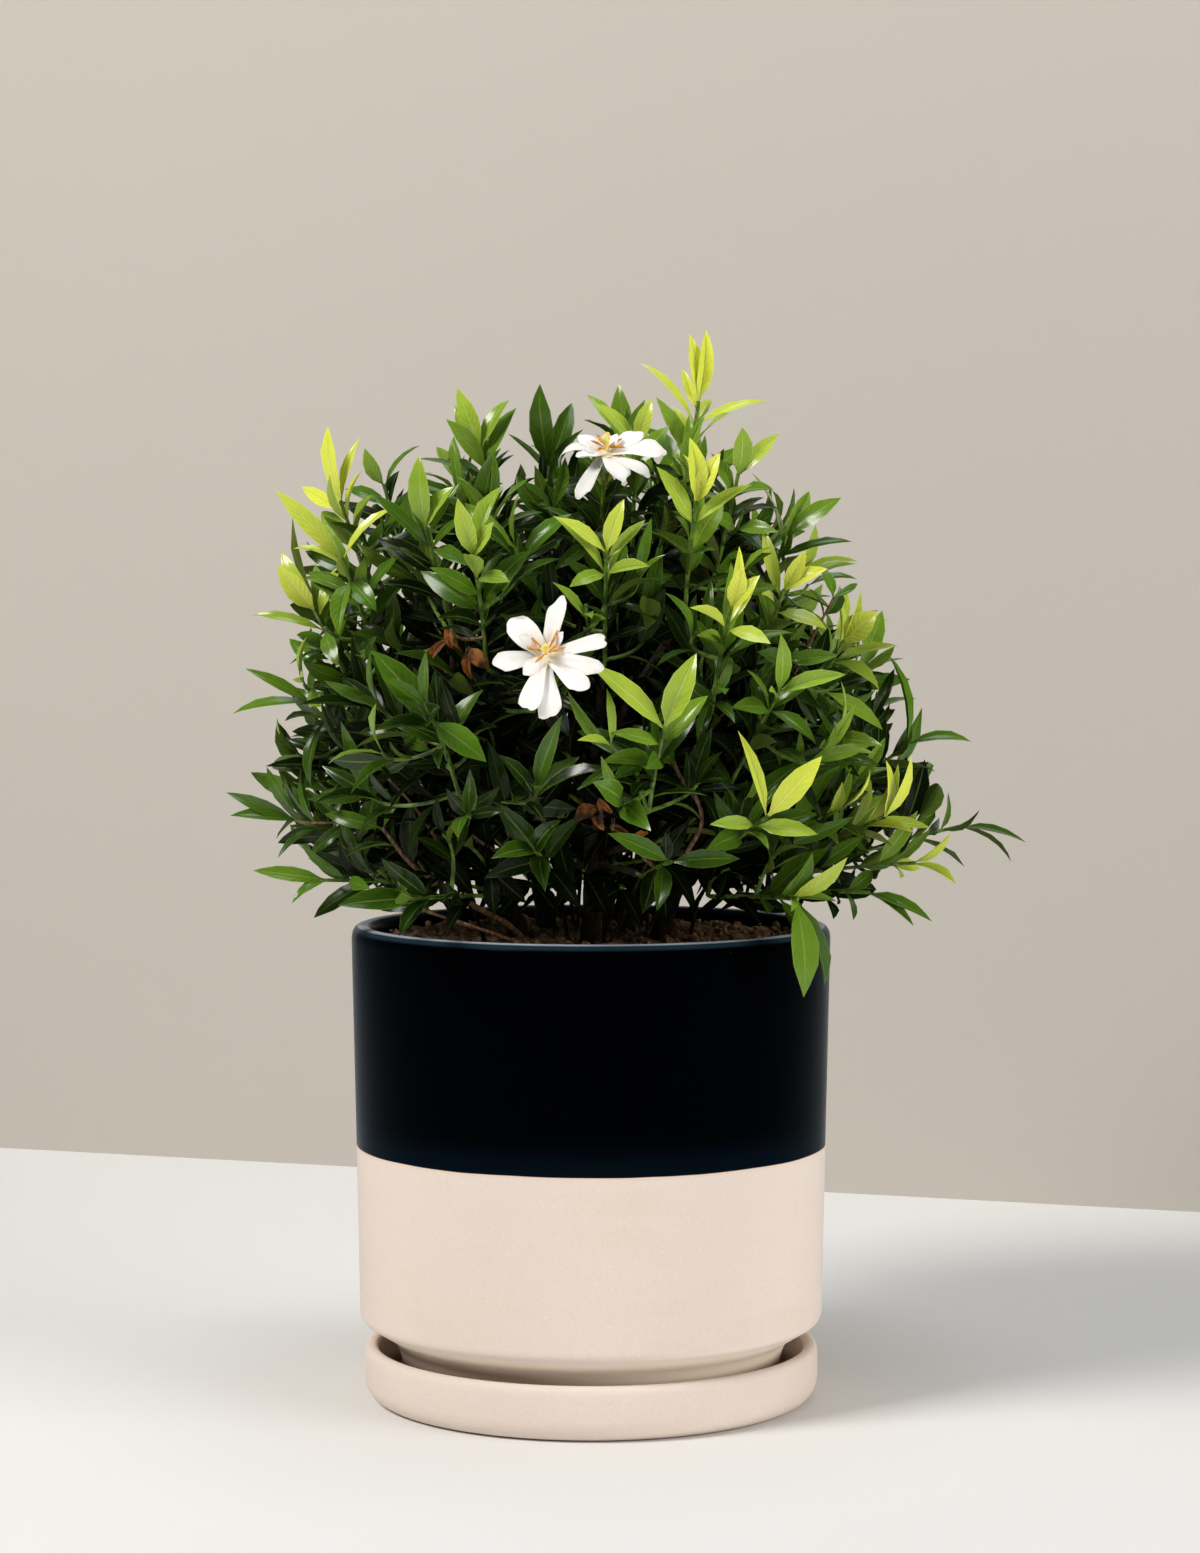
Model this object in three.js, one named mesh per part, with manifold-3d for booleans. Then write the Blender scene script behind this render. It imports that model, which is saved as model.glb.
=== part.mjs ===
// Potted gardenia: a dwarf shrub in a two-tone ceramic pot that stands in its saucer.
// Millimetres, +Z up. The origin is the centre of the saucer's underside; -Y is the front.
// Pieces: saucer, pot, soil, six woody stems, leafy stems with their leaves fused on, two blooms
// (petals, stamens and pistil each) and a cluster of dried leaves.

import * as THREE from "three";
import { mergeVertices } from "three/addons/utils/BufferGeometryUtils.js";
import Module from "manifold-3d";

const wasm = await Module();
wasm.setup();

// ---------------------------------------------------------------- driving dimensions

const GAP = 0.3; // clearance between pieces that touch

const SAUCER_RADIUS = 94.5;
const SAUCER_HEIGHT = 22.5;
const SAUCER_WALL = 6;
const SAUCER_FLOOR = 6;

const POT_RADIUS = 100; // outside, at the rim
const POT_BASE_RADIUS = 96.3; // outside, above the rounded lower corner
const POT_TOP = 196.5;
const POT_WALL = 9;
const POT_FLOOR = 9.5;
const FOOT_RADIUS = 74;
const FOOT_WIDTH = 9;
const FOOT_RECESS = 3.7;
const DRAIN_RADIUS = 6;
const LATHE_STEPS = 40;

const SOIL_TOP = 190.5;
const SOIL_LUMP = 1.6;

const CROWN_CENTRE = new THREE.Vector3(0, 0, 215); // the point that the shoots fan out from
const MAIN_STEM_COUNT = 5; // the outer ones; one more stands in the middle
const MAIN_STEM_ROOT = 20; // from the pot's axis, where the outer ones leave the soil
const MAIN_STEM_SPREAD = 58; // the same at their tops
const MAIN_STEM_TOPS = [246, 258];
const MIDDLE_STEM_TOP = 292;
const MIDDLE_RADIUS = 34; // the middle stem carries the high shoots that start within this
const MAIN_STEM_RADII = [4.2, 2.3];
const BRANCH_RADII = [1.8, 1.4];
const SHOOT_RADII = [1.5, 1.25];
const STEM_DEPTH = 22; // how far the stems go into the soil

const SHOOT_SHARE = 0.42; // of the way from the crown's centre to the tip is green stem
const SHOOT_LENGTH = 50; // of the green stems, at most
const LEVEL_BELOW = 225; // shoots that end below this height lie level
const UPRIGHT_ABOVE = 345; // and those above this one stand most upright
const MOST_UPRIGHT = 0.6;

const FRONT_LEAF_LENGTH = 30;
const BLOOM_LEAF_LENGTH = 26;
const LEAF_WIDTH = 0.32; // of the leaf's length, where it grows by rule
const LEAF_ARCH = 0.6; // radians that a leaf turns from its root to its tip
const PETAL_ARCH = 0.4;
const LEAF_THICKNESS = 0.9;
const LEAF_STATIONS = [0, 0.28, 0.62]; // the sections of a blade, as shares of its length
const DRY_LEAF_LENGTH = 21;
const NODE_DISTANCES = [1, 10, 22, 36]; // from a shoot's tip down to each pair of leaves
const CLEAR_BLADE = 1.15; // half of what two blades keep between them
const CLEAR_STEM = 0.7; // what a stem keeps round it

const LIGHT_SHIFT = 70; // the leaves turn outwards from a line this far behind the pot's axis

const TUBE_LENGTH = 15; // of a bloom's corolla tube
const PETAL_RISE = 12; // degrees that the petals stand above the face
const STAMEN_RISE = 15;

// The shoots that show most: where each ends, its age (0 for dark leaves to 1 for fresh ones) and
// its top leaves, in pairs from the tip down. A leaf is how far it reaches in x, y and z, and its
// width. The pairs below the listed ones grow by rule.
const FRONT_SHOOTS = [
  [[45, 0, 415], 1, [[-4, -2, 29, 9], [3, 1, 31, 9], [-22, -3, 27, 5], [32, 6, 12, 5]]],
  [[42, -76, 371], 0.9, [[-2, -6, 26, 10], [9, -6, 20, 9], [-15, -6, 23, 8], [23, -2, 17, 7]]],
  [[-46, -8, 396], 0.6, [[-10, -3, 25, 8], [11, 2, 21, 8]]],
  [[-104, -12, 373], 1, [[-5, -3, 32, 9], [8, 0, 27, 6], [-7, -9, 20, 7], [2, -10, 24, 6]]],
  [[-101, -48, 349], 0.8, [[-27, -4, 28, 8], [21, -4, 23, 6], [-4, -13, -22, 10], [11, -12, -12, 9]]],
  [[-113, -38, 328], 0.8, [[-15, -6, 19, 10], [-15, 3, 25, 7], [-30, 0, 8, 5], [6, -14, -14, 7]]],
  [[-66, -72, 361], 0.5, [[-3, -6, 29, 10], [11, -7, 17, 9], [-24, 0, 23, 7], [16, -12, -6, 8]]],
  [[-88, 22, 381], 0.4, [[14, 0, 19, 6], [-9, -2, 16, 7], [1, 6, 17, 8], [-20, 6, 9, 7]]],
  [[-46, -102, 349], 0.7, [[-6, -7, 23, 9], [8, -6, 14, 8], [-7, -12, 14, 9], [13, -13, -1, 8]]],
  [[6, -97, 351], 0.8, [[-19, -7, 14, 7], [7, -3, 21, 8], [-14, -12, -4, 7], [17, -10, 3, 8]]],
  [[-64, -122, 292], 0.3, [[1, -9, 21, 5], [-16, -9, 11, 5], [-23, -6, 28, 12], [21, -9, -15, 11]]],
  [[-117, -14, 290], 0.4, [[-27, -3, 14, 6], [-33, 0, -3, 6], [-16, -10, 4, 8], [-7, -6, -28, 8]]],
  [[-122, -24, 241], 0.3, [[-29, -3, 12, 7], [-27, -7, 3, 7], [-14, -6, 21, 5], [-16, -8, -12, 6]]],
  [[-108, -46, 218], 0.5, [[-30, -2, 4, 7], [-14, -8, -8, 6], [-19, -4, 15, 5], [10, -17, -2, 6]]],
  [[19, -20, 396], 0.7, [[-17, -3, 19, 8], [6, -4, 20, 8], [14, 6, 18, 8], [-10, 6, 20, 7]]],
  [[61, -16, 384], 0.6, [[2, -5, 20, 10], [17, 3, 18, 7], [-9, 3, 19, 8], [16, -12, 3, 10]]],
  [[81, -12, 359], 0.5, [[23, -4, 16, 9], [10, 4, 19, 9], [30, -3, 8, 6], [4, -13, 14, 8]]],
  [[78, -52, 336], 0.9, [[9, -6, 17, 7], [17, -7, 10, 8], [20, -8, -6, 8], [-6, -16, 8, 7]]],
  [[55, -101, 329], 0.9, [[4, -7, 17, 8], [11, -7, 13, 7], [-14, -11, 9, 8], [17, -10, -6, 8]]],
  [[104, -24, 315], 0.8, [[7, -4, 21, 6], [14, -7, 13, 12], [27, -3, 7, 6], [20, -6, -10, 9]]],
  [[28, -137, 283], 0.7, [[12, -6, 29, 12], [-29, -5, 25, 10], [-19, -10, 5, 7], [18, -3, 19, 10]]],
  [[68, -121, 248], 0.8, [[21, -7, 24, 10], [-11, -6, 34, 6], [-18, -10, 1, 7], [24, -5, -3, 8]]],
  [[74, -96, 296], 0.6, [[26, -6, 7, 9], [1, -9, 23, 8], [18, -10, -12, 8], [-15, -14, 2, 8]]],
  [[133, 0, 272], 0.3, [[-7, -3, 38, 9], [27, -3, 3, 7], [8, -6, 9, 5], [10, 7, 15, 7]]],
  [[120, -42, 243], 1, [[11, -5, 26, 8], [2, -7, 24, 7], [19, -4, 22, 8], [20, -8, 2, 7]]],
  [[158, 22, 236], 0.1, [[28, 2, -7, 7], [22, -7, -13, 6], [17, -5, 8, 6], [4, 12, 16, 6]]],
  [[133, -32, 224], 0.9, [[15, -5, 13, 6], [17, -6, -8, 7], [3, -16, -4, 6], [13, 9, -2, 6]]],
  [[113, -46, 213], 0.4, [[26, -6, -11, 7], [18, -10, -13, 6], [2, -16, -10, 6], [12, 10, 8, 7]]],
  [[82, -80, 213], 0.7, [[3, -9, -38, 13], [14, 8, -36, 9]]],
  [[31, -112, 230], 0.2, [[-24, -7, 12, 8], [27, -4, 2, 8], [-3, -12, -17, 9], [3, -15, 10, 7]]],
];

// The other shoots: where each ends, its leaf length and its age. All their leaves grow by rule.
const OTHER_SHOOTS = [
  [-70, -92, 214, 28, 0.2],
  [-22, -108, 234, 29, 0.1],
  [26, 58, 380, 31, 0.5],
  [-44, 72, 360, 32, 0.4],
  [80, 88, 318, 32, 0.4],
  [-98, 78, 308, 32, 0.2],
  [10, 122, 322, 32, 0.3],
  [118, 84, 256, 32, 0.3],
  [-66, 124, 264, 32, 0.1],
  [38, 136, 254, 32, 0.2],
  [-122, 56, 246, 31, 0.1],
  [-4, 112, 222, 30, 0.1],
];

// Each bloom: the middle of its face, the way it faces, and its roll in degrees.
const BLOOMS = [
  { centre: [-17, -146, 311], facing: [0, -0.92, 0.4], roll: 0 },
  { centre: [6, -48, 392], facing: [0.05, -0.5, 0.86], roll: -20 },
];

// The shoots whose branches also hold dried leaves.
const DRIED_ON = [6];

// A bloom's petals: angle round its face in degrees, length, width.
const PETALS = [
  [19, 23, 8],
  [80, 21, 8],
  [131, 21, 10.5],
  [184, 20, 8.5],
  [222, 12, 7],
  [249, 24, 9.5],
  [274, 25, 9],
  [315, 19.5, 8.5],
  [342, 21, 8.5],
];

// Round pieces of a bloom, each as pairs of a distance out along its axis and a radius.
const TUBE = [
  [-TUBE_LENGTH, 1.6],
  [-5, 1.9],
  [-1.5, 3],
  [-0.4, 4],
];
const STAMEN_HUB = [
  [0, 1.9],
  [1.2, 1.9],
];
const PISTIL = [
  [1.5 + GAP, 0.6],
  [3.5, 0.9],
  [5.5, 1.4],
  [7, 0.7],
];

// ---------------------------------------------------------------- small helpers

const UP = new THREE.Vector3(0, 0, 1);
const vec = (x, y, z) => new THREE.Vector3(x, y, z);
const degrees = THREE.MathUtils.degToRad;

// A repeatable draw between 0 and 1 from up to three whole numbers.
function draw(a, b = 0, c = 0) {
  const s = Math.sin(a * 12.9898 + b * 78.233 + c * 37.719 + 1.7) * 43758.5453;
  return s - Math.floor(s);
}

// A point of the curve from a to c that leaves a towards b.
function bend(a, b, c, t) {
  const u = 1 - t;
  return vec(0, 0, 0)
    .addScaledVector(a, u * u)
    .addScaledVector(b, 2 * u * t)
    .addScaledVector(c, t * t);
}

function route(a, b, c, steps) {
  return Array.from({ length: steps + 1 }, (_, i) => bend(a, b, c, i / steps));
}

// The way a route runs at its point i.
function along(points, i) {
  const from = points[Math.max(i - 1, 0)];
  const to = points[Math.min(i + 1, points.length - 1)];
  return to.clone().sub(from).normalize();
}

// Two directions square to d, the first as level as it can be.
function squareTo(d) {
  const level = Math.abs(d.z) > 0.999 ? vec(1, 0, 0) : vec(0, 0, 0).crossVectors(UP, d);
  level.normalize();
  return [level, vec(0, 0, 0).crossVectors(d, level)];
}

// ---------------------------------------------------------------- solids

function solidFrom(geometry) {
  geometry.deleteAttribute("normal");
  geometry.deleteAttribute("uv");
  const merged = mergeVertices(geometry, 1e-4);
  return new wasm.Manifold(
    new wasm.Mesh({
      numProp: 3,
      vertProperties: merged.attributes.position.array,
      triVerts: new Uint32Array(merged.index.array),
    }),
  );
}

function geometryFrom(solid) {
  const mesh = solid.getMesh();
  return new THREE.BufferGeometry()
    .setAttribute("position", new THREE.BufferAttribute(mesh.vertProperties, 3))
    .setIndex(new THREE.BufferAttribute(mesh.triVerts, 1))
    .toNonIndexed();
}

// The closed skin over a row of sections with as many points each. A section of one point is a tip.
function loft(sections) {
  const triangles = [];
  const rim = sections.find((s) => s.length > 1).length;
  const at = (s, i) => s[s.length === 1 ? 0 : i % rim];
  const cap = (s, turned) => {
    for (let i = 1; i < s.length - 1; i++) {
      triangles.push(turned ? [s[0], s[i + 1], s[i]] : [s[0], s[i], s[i + 1]]);
    }
  };
  for (let k = 0; k < sections.length - 1; k++) {
    const [a, b] = [sections[k], sections[k + 1]];
    for (let i = 0; i < rim; i++) {
      if (a.length > 1) triangles.push([at(a, i), at(a, i + 1), at(b, i)]);
      if (b.length > 1) triangles.push([at(a, i + 1), at(b, i + 1), at(b, i)]);
    }
  }
  cap(sections[0], true);
  cap(sections[sections.length - 1], false);
  const volume = triangles.reduce((sum, [a, b, c]) => sum + a.dot(b.clone().cross(c)), 0);
  const corners = triangles.flatMap(([a, b, c]) => (volume > 0 ? [a, b, c] : [a, c, b]));
  return solidFrom(new THREE.BufferGeometry().setFromPoints(corners));
}

// A round stem with a few sides along a route, thinning from the first radius to the last.
function stemSolid(points, [thick, thin], sides, extra = 0) {
  let [side] = squareTo(along(points, 0));
  return loft(
    points.map((p, i) => {
      const d = along(points, i);
      side = side.clone().addScaledVector(d, -side.dot(d)).normalize();
      const other = vec(0, 0, 0).crossVectors(d, side);
      const radius = extra + THREE.MathUtils.lerp(thick, thin, i / (points.length - 1));
      return Array.from({ length: sides }, (_, k) => {
        const a = (2 * Math.PI * k) / sides;
        return p
          .clone()
          .addScaledVector(side, radius * Math.cos(a))
          .addScaledVector(other, radius * Math.sin(a));
      });
    }),
  );
}

// Joins solids, and keeps the one body that results without loose scraps or sealed hollows.
function fuse(solids) {
  const joined = solids.reduce((sum, s) => sum.add(s));
  return joined.decompose().reduce((big, s) => (s.volume() > big.volume() ? s : big));
}

const model = new THREE.Group();

function addPiece(name, geometry, material) {
  const mesh = new THREE.Mesh(geometry, material);
  mesh.name = name;
  model.add(mesh);
}

const paint = (color, roughness) =>
  new THREE.MeshStandardMaterial({ color, roughness, metalness: 0 });

const CLAY = paint("#e7d5c5", 0.85);
const SOIL = paint("#3b2412", 1);
const BARK = paint("#594730", 0.9);
const MATURE_LEAF = paint("#2f5311", 0.4);
const YOUNG_LEAF = paint("#a9c62f", 0.45);
const PETAL = paint("#f8f4ea", 0.55);
const ANTHER = paint("#c9761a", 0.7);
const STIGMA = paint("#f2d34c", 0.6);
const DRY_LEAF = paint("#7a4310", 0.85);

// ---------------------------------------------------------------- saucer, pot and soil

// Turns an outline of radius against height once round the Z axis.
function turned(outline, steps, curveSteps) {
  const geometry = new THREE.LatheGeometry(outline.getPoints(curveSteps), steps);
  return geometry.rotateX(Math.PI / 2);
}

function saucer() {
  const inner = SAUCER_RADIUS - SAUCER_WALL;
  const outline = new THREE.Path()
    .moveTo(0, 0)
    .lineTo(SAUCER_RADIUS - 9, 0)
    .quadraticCurveTo(SAUCER_RADIUS - 1, 0, SAUCER_RADIUS, 9)
    .lineTo(SAUCER_RADIUS, SAUCER_HEIGHT - 4)
    .quadraticCurveTo(SAUCER_RADIUS, SAUCER_HEIGHT, SAUCER_RADIUS - 3, SAUCER_HEIGHT)
    .quadraticCurveTo(inner, SAUCER_HEIGHT, inner, SAUCER_HEIGHT - 4)
    .lineTo(inner - 1, SAUCER_FLOOR + 4)
    .quadraticCurveTo(inner - 2, SAUCER_FLOOR, inner - 7, SAUCER_FLOOR)
    .lineTo(0, SAUCER_FLOOR);
  addPiece("saucer", turned(outline, LATHE_STEPS, 2), CLAY);
}

const POT_FOOT = SAUCER_FLOOR + GAP; // the foot ring stands on the saucer's floor
const POT_INSIDE = POT_FOOT + FOOT_RECESS + POT_FLOOR; // the height of the floor inside the pot
const POT_INNER = POT_RADIUS - POT_WALL;

function pot() {
  const recess = POT_FOOT + FOOT_RECESS;
  const outline = new THREE.Path()
    .moveTo(DRAIN_RADIUS, recess)
    .lineTo(FOOT_RADIUS - FOOT_WIDTH - 1, recess)
    .lineTo(FOOT_RADIUS - FOOT_WIDTH, POT_FOOT)
    .lineTo(FOOT_RADIUS, POT_FOOT)
    .quadraticCurveTo(FOOT_RADIUS + 4, 17, FOOT_RADIUS + 12, 24)
    .quadraticCurveTo(POT_BASE_RADIUS - 0.8, 28, POT_BASE_RADIUS, 37)
    .lineTo(POT_RADIUS, POT_TOP - 6)
    .quadraticCurveTo(POT_RADIUS, POT_TOP, POT_RADIUS - POT_WALL / 2, POT_TOP)
    .quadraticCurveTo(POT_INNER, POT_TOP, POT_INNER, POT_TOP - 6)
    .lineTo(POT_INNER - 3, 50)
    .quadraticCurveTo(POT_INNER - 5, POT_INSIDE, 62, POT_INSIDE)
    .lineTo(DRAIN_RADIUS, POT_INSIDE)
    .lineTo(DRAIN_RADIUS, recess);
  addPiece("pot", turned(outline, LATHE_STEPS, 2), CLAY);
}

// The potting mix fills the pot. Its top is lumpy, and it has a plain hole for each woody stem.
function soil(stems) {
  const outline = new THREE.Path()
    .moveTo(0, POT_INSIDE + GAP)
    .lineTo(60, POT_INSIDE + GAP)
    .lineTo(POT_INNER - 12, POT_INSIDE + 8)
    .lineTo(POT_INNER - 4, 54)
    .lineTo(POT_INNER - 0.9, SOIL_TOP - 3)
    .lineTo(POT_INNER - 4, SOIL_TOP)
    .lineTo(62, SOIL_TOP)
    .lineTo(32, SOIL_TOP)
    .lineTo(0, SOIL_TOP);
  const geometry = turned(outline, LATHE_STEPS / 2, 2);
  const position = geometry.attributes.position;
  for (let i = 0; i < position.count; i++) {
    const [x, y, z] = [position.getX(i), position.getY(i), position.getZ(i)];
    if (z < SOIL_TOP - 0.1) continue;
    const lumps = Math.sin(x * 0.31 + 1) * Math.cos(y * 0.27) + Math.sin(x * 0.13 - y * 0.19);
    position.setZ(i, z + SOIL_LUMP * 0.5 * lumps);
  }
  const holes = stems.map((s) => stemSolid(s.line, MAIN_STEM_RADII, 6, GAP));
  const solid = holes.reduce((left, hole) => left.subtract(hole), solidFrom(geometry));
  addPiece("soil", geometryFrom(solid), SOIL);
}

// ---------------------------------------------------------------- keeping pieces clear

// The distance between the lines p-q and r-s, each from its first to its second point.
function lineDistance(p, q, r, s) {
  const d1 = q.clone().sub(p);
  const d2 = s.clone().sub(r);
  const w = p.clone().sub(r);
  const a = Math.max(d1.dot(d1), 1e-9);
  const e = Math.max(d2.dot(d2), 1e-9);
  const b = d1.dot(d2);
  const c = d1.dot(w);
  const f = d2.dot(w);
  const clamp = (x) => Math.min(Math.max(x, 0), 1);
  const denominator = a * e - b * b;
  let t1 = denominator > 1e-9 ? clamp((b * f - c * e) / denominator) : 0;
  let t2 = (b * t1 + f) / e;
  if (t2 < 0 || t2 > 1) {
    t2 = clamp(t2);
    t1 = clamp((b * t2 - c) / a);
  }
  return w.addScaledVector(d1, t1).addScaledVector(d2, -t2).length();
}

const taken = []; // what is already placed: { from, to, room, owner, part }

const linesOf = (points, room) => points.slice(1).map((to, i) => ({ from: points[i], to, room }));

function claim(points, room, owner, part) {
  linesOf(points, room).forEach((line) => taken.push({ ...line, owner, part }));
}

// Whether the lines of a new piece, each with its room, come too close to what is placed.
function tooClose(lines, owner, part) {
  return taken.some((t) => {
    if (t.owner === owner && (t.part === part || t.part === "stem")) return false;
    return lines.some((l) => lineDistance(l.from, l.to, t.from, t.to) < l.room + t.room);
  });
}

// ---------------------------------------------------------------- the plant's plan

// The woody stems fan out from the soil: one in the middle and the others round it.
function mainStems() {
  const stems = [{ root: vec(3, 4, 0), top: vec(8, 6, MIDDLE_STEM_TOP) }];
  for (let i = 0; i < MAIN_STEM_COUNT; i++) {
    const round = vec(1, 0, 0).applyAxisAngle(UP, degrees(198 + (360 / MAIN_STEM_COUNT) * i));
    const height = THREE.MathUtils.lerp(...MAIN_STEM_TOPS, draw(i, 2));
    stems.push({
      root: round.clone().multiplyScalar(MAIN_STEM_ROOT + 5 * draw(i, 1)),
      top: round.clone().multiplyScalar(MAIN_STEM_SPREAD).setZ(height),
    });
  }
  stems.forEach((m, i) => {
    m.root.z = SOIL_TOP - STEM_DEPTH;
    const lean = m.root.clone().lerp(m.top, 0.35).setZ(SOIL_TOP + 24);
    m.line = route(m.root, lean, m.top, 5);
    m.branches = [];
    claim(m.line, MAIN_STEM_RADII[0] + CLEAR_STEM, "woody" + i, "stem");
  });
  return stems;
}

// Each shoot's stem comes in from the crown's middle, upright in the top of the crown and level
// low down, and its branch grows from the woody stem whose side it is on.
function planShoots(stems) {
  const shoots = [
    ...FRONT_SHOOTS.map(([end, age, leaves]) => {
      return { tip: vec(...end), size: FRONT_LEAF_LENGTH, age, leaves, pairs: 3 };
    }),
    ...OTHER_SHOOTS.map(([x, y, z, size, age]) => {
      return { tip: vec(x, y, z), size, age, leaves: [], pairs: 4 };
    }),
    ...BLOOMS.map(({ centre, facing }) => {
      const face = vec(...facing).normalize();
      const tip = vec(...centre).addScaledVector(face, -TUBE_LENGTH - GAP);
      return { tip, size: BLOOM_LEAF_LENGTH, age: 0.3, leaves: [], pairs: 4, face };
    }),
  ];
  for (const s of shoots) {
    const out = s.tip.clone().sub(CROWN_CENTRE);
    s.length = Math.min(SHOOT_SHARE * out.length(), SHOOT_LENGTH);
    const height = (s.tip.z - LEVEL_BELOW) / (UPRIGHT_ABOVE - LEVEL_BELOW);
    const upright = THREE.MathUtils.clamp(height, 0, 1) * MOST_UPRIGHT;
    s.way = s.face ?? out.normalize().multiplyScalar(0.75).addScaledVector(UP, upright).normalize();
    s.base = s.tip.clone().addScaledVector(s.way, -s.length);
    const level = vec(s.base.x, s.base.y, 0);
    const beside = (m) => level.angleTo(vec(m.top.x, m.top.y, 0));
    const nearest = stems.slice(1).reduce((best, m) => (beside(m) < beside(best) ? m : best));
    const inMiddle = level.length() < MIDDLE_RADIUS && s.base.z > MIDDLE_STEM_TOP - 7;
    s.stem = inMiddle ? stems[0] : nearest;
    s.stem.branches.push(s);
  }
  return shoots;
}

// Ways to bend a branch clear, in turn: how far its knee moves across and up.
const KNEES = [
  [0, 0],
  [8, 0],
  [-8, 0],
  [0, 8],
  [0, -8],
  [16, 0],
  [-16, 0],
  [14, 12],
  [-14, 12],
];

// Runs each branch from its woody stem to its shoot, the lowest from furthest down.
function routeBranches(stems) {
  stems.forEach((m, number) => {
    m.branches.sort((a, b) => a.base.z - b.base.z);
    m.branches.forEach((s, rank) => {
      const share = 0.5 + (0.5 * (rank + 1)) / m.branches.length;
      const step = Math.min(Math.round(share * 5), 5);
      const fork = m.line[step];
      const far = s.base.distanceTo(fork);
      const [across, rise] = squareTo(s.base.clone().sub(fork).normalize());
      s.owner = "shoot" + number + "_" + rank;
      for (const [aside, up] of KNEES) {
        const knee = fork.clone().addScaledVector(along(m.line, step), far * 0.35);
        knee.addScaledVector(across, aside).addScaledVector(rise, up);
        s.woody = route(fork, knee, s.base, 3);
        const leaving = along(s.woody, 3);
        const start = s.base.clone().addScaledVector(leaving, GAP);
        const straight = start.clone().addScaledVector(leaving, 4);
        const middle = s.tip.clone().addScaledVector(s.way, -0.45 * s.length);
        s.line = [start, ...route(straight, middle, s.tip, 4)];
        const room = BRANCH_RADII[0] + CLEAR_STEM;
        const lines = [...linesOf(s.woody, room), ...linesOf(s.line, room)];
        if (!tooClose(lines, "woody" + number, "stem")) break;
      }
      claim(s.woody, BRANCH_RADII[0] + CLEAR_STEM, "woody" + number, "stem");
      claim(s.line, SHOOT_RADII[0] + CLEAR_STEM, s.owner, "stem");
    });
  });
}

// ---------------------------------------------------------------- leaves and petals

// The half width of a leaf at a share t of its length, against its widest.
const leafOutline = (t) => Math.pow(Math.sin(Math.PI * Math.pow(t, 0.9)), 0.9);

// The same for a petal, which is widest near its blunt tip.
const petalOutline = (t) => Math.min(0.3 + 1.05 * t, Math.sqrt(Math.max(1 - t, 0) * 6), 1);

// A blade whose chord runs from its root to its tip. It arches back from the side that it turns
// to the light.
function blade(root, chord, light, width, arch) {
  const length = chord.length();
  const d = chord.clone().normalize();
  const bright = light.clone().addScaledVector(d, -light.dot(d)).normalize();
  const [c, s] = [Math.cos(arch / 2), Math.sin(arch / 2)];
  return {
    root,
    way: d.clone().multiplyScalar(c).addScaledVector(bright, s),
    face: bright.clone().multiplyScalar(c).addScaledVector(d, -s),
    length: (length * arch) / 2 / s,
    half: width / 2,
    arch,
  };
}

// A point of a blade: a share t along it, then across it, then down through its thickness.
function bladePoint(leaf, t, across, down = 0) {
  const turn = Math.max(leaf.arch * t, 1e-6);
  const ahead = (leaf.length * t * Math.sin(turn)) / turn;
  const back = (leaf.length * t * (1 - Math.cos(turn))) / turn;
  const side = vec(0, 0, 0).crossVectors(leaf.way, leaf.face);
  return leaf.root
    .clone()
    .addScaledVector(leaf.way, ahead)
    .addScaledVector(leaf.face, -back - down)
    .addScaledVector(side, across);
}

// Lines across a blade, close enough together that nothing passes between them.
function bladeLines(leaf, outline) {
  const count = 12;
  return Array.from({ length: count - 1 }, (_, i) => {
    const t = (i + 2) / count;
    const half = t < 1 ? outline(t) * leaf.half : 0;
    return { from: bladePoint(leaf, t, -half), to: bladePoint(leaf, t, half), room: CLEAR_BLADE };
  });
}

// A closed blade with a keel under its middle. Its root is sunk in what carries it.
function bladeSolid(leaf, outline, shares) {
  const sections = shares.map((t) => {
    const half = Math.max(outline(t) * leaf.half, 0.5);
    const lift = t === 0 ? -0.3 : 0;
    return [
      bladePoint(leaf, t, -half, lift),
      bladePoint(leaf, t, half, lift),
      bladePoint(leaf, t, 0, lift + LEAF_THICKNESS),
    ];
  });
  return loft([...sections, [bladePoint(leaf, 1, 0, LEAF_THICKNESS / 2)]]);
}

// Whether lines stay above the soil and the rim, or outside the pot.
const clearOfPot = (lines) =>
  lines.every(({ from, to }) =>
    [from, to].every((p) => {
      const r = Math.hypot(p.x, p.y);
      if (r > POT_RADIUS + 2) return true;
      return r < POT_INNER - 3 ? p.z > SOIL_TOP + 4 : p.z > POT_TOP + 2;
    }),
  );

// The point and direction of a line a given distance back from its end.
function backAlong(line, distance) {
  let left = distance;
  for (let i = line.length - 1; i > 0; i--) {
    const span = line[i].distanceTo(line[i - 1]);
    if (left <= span || i === 1) {
      const at = line[i].clone().lerp(line[i - 1], Math.min(left / span, 0.95));
      return [at, line[i].clone().sub(line[i - 1]).normalize()];
    }
    left -= span;
  }
}

// Ways to bend a leaf clear, in turn: wider by, turned by, and share of its length.
const TRIES = [
  [0, 0, 1],
  [10, 0, 1],
  [-10, 0, 1],
  [0, 18, 1],
  [0, -18, 1],
  [12, 28, 0.95],
  [12, -28, 0.95],
  [-14, 24, 0.9],
  [-14, -24, 0.9],
  [24, 0, 0.85],
  [0, 45, 0.8],
  [0, -45, 0.8],
  [-8, 0, 0.66],
];

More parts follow.
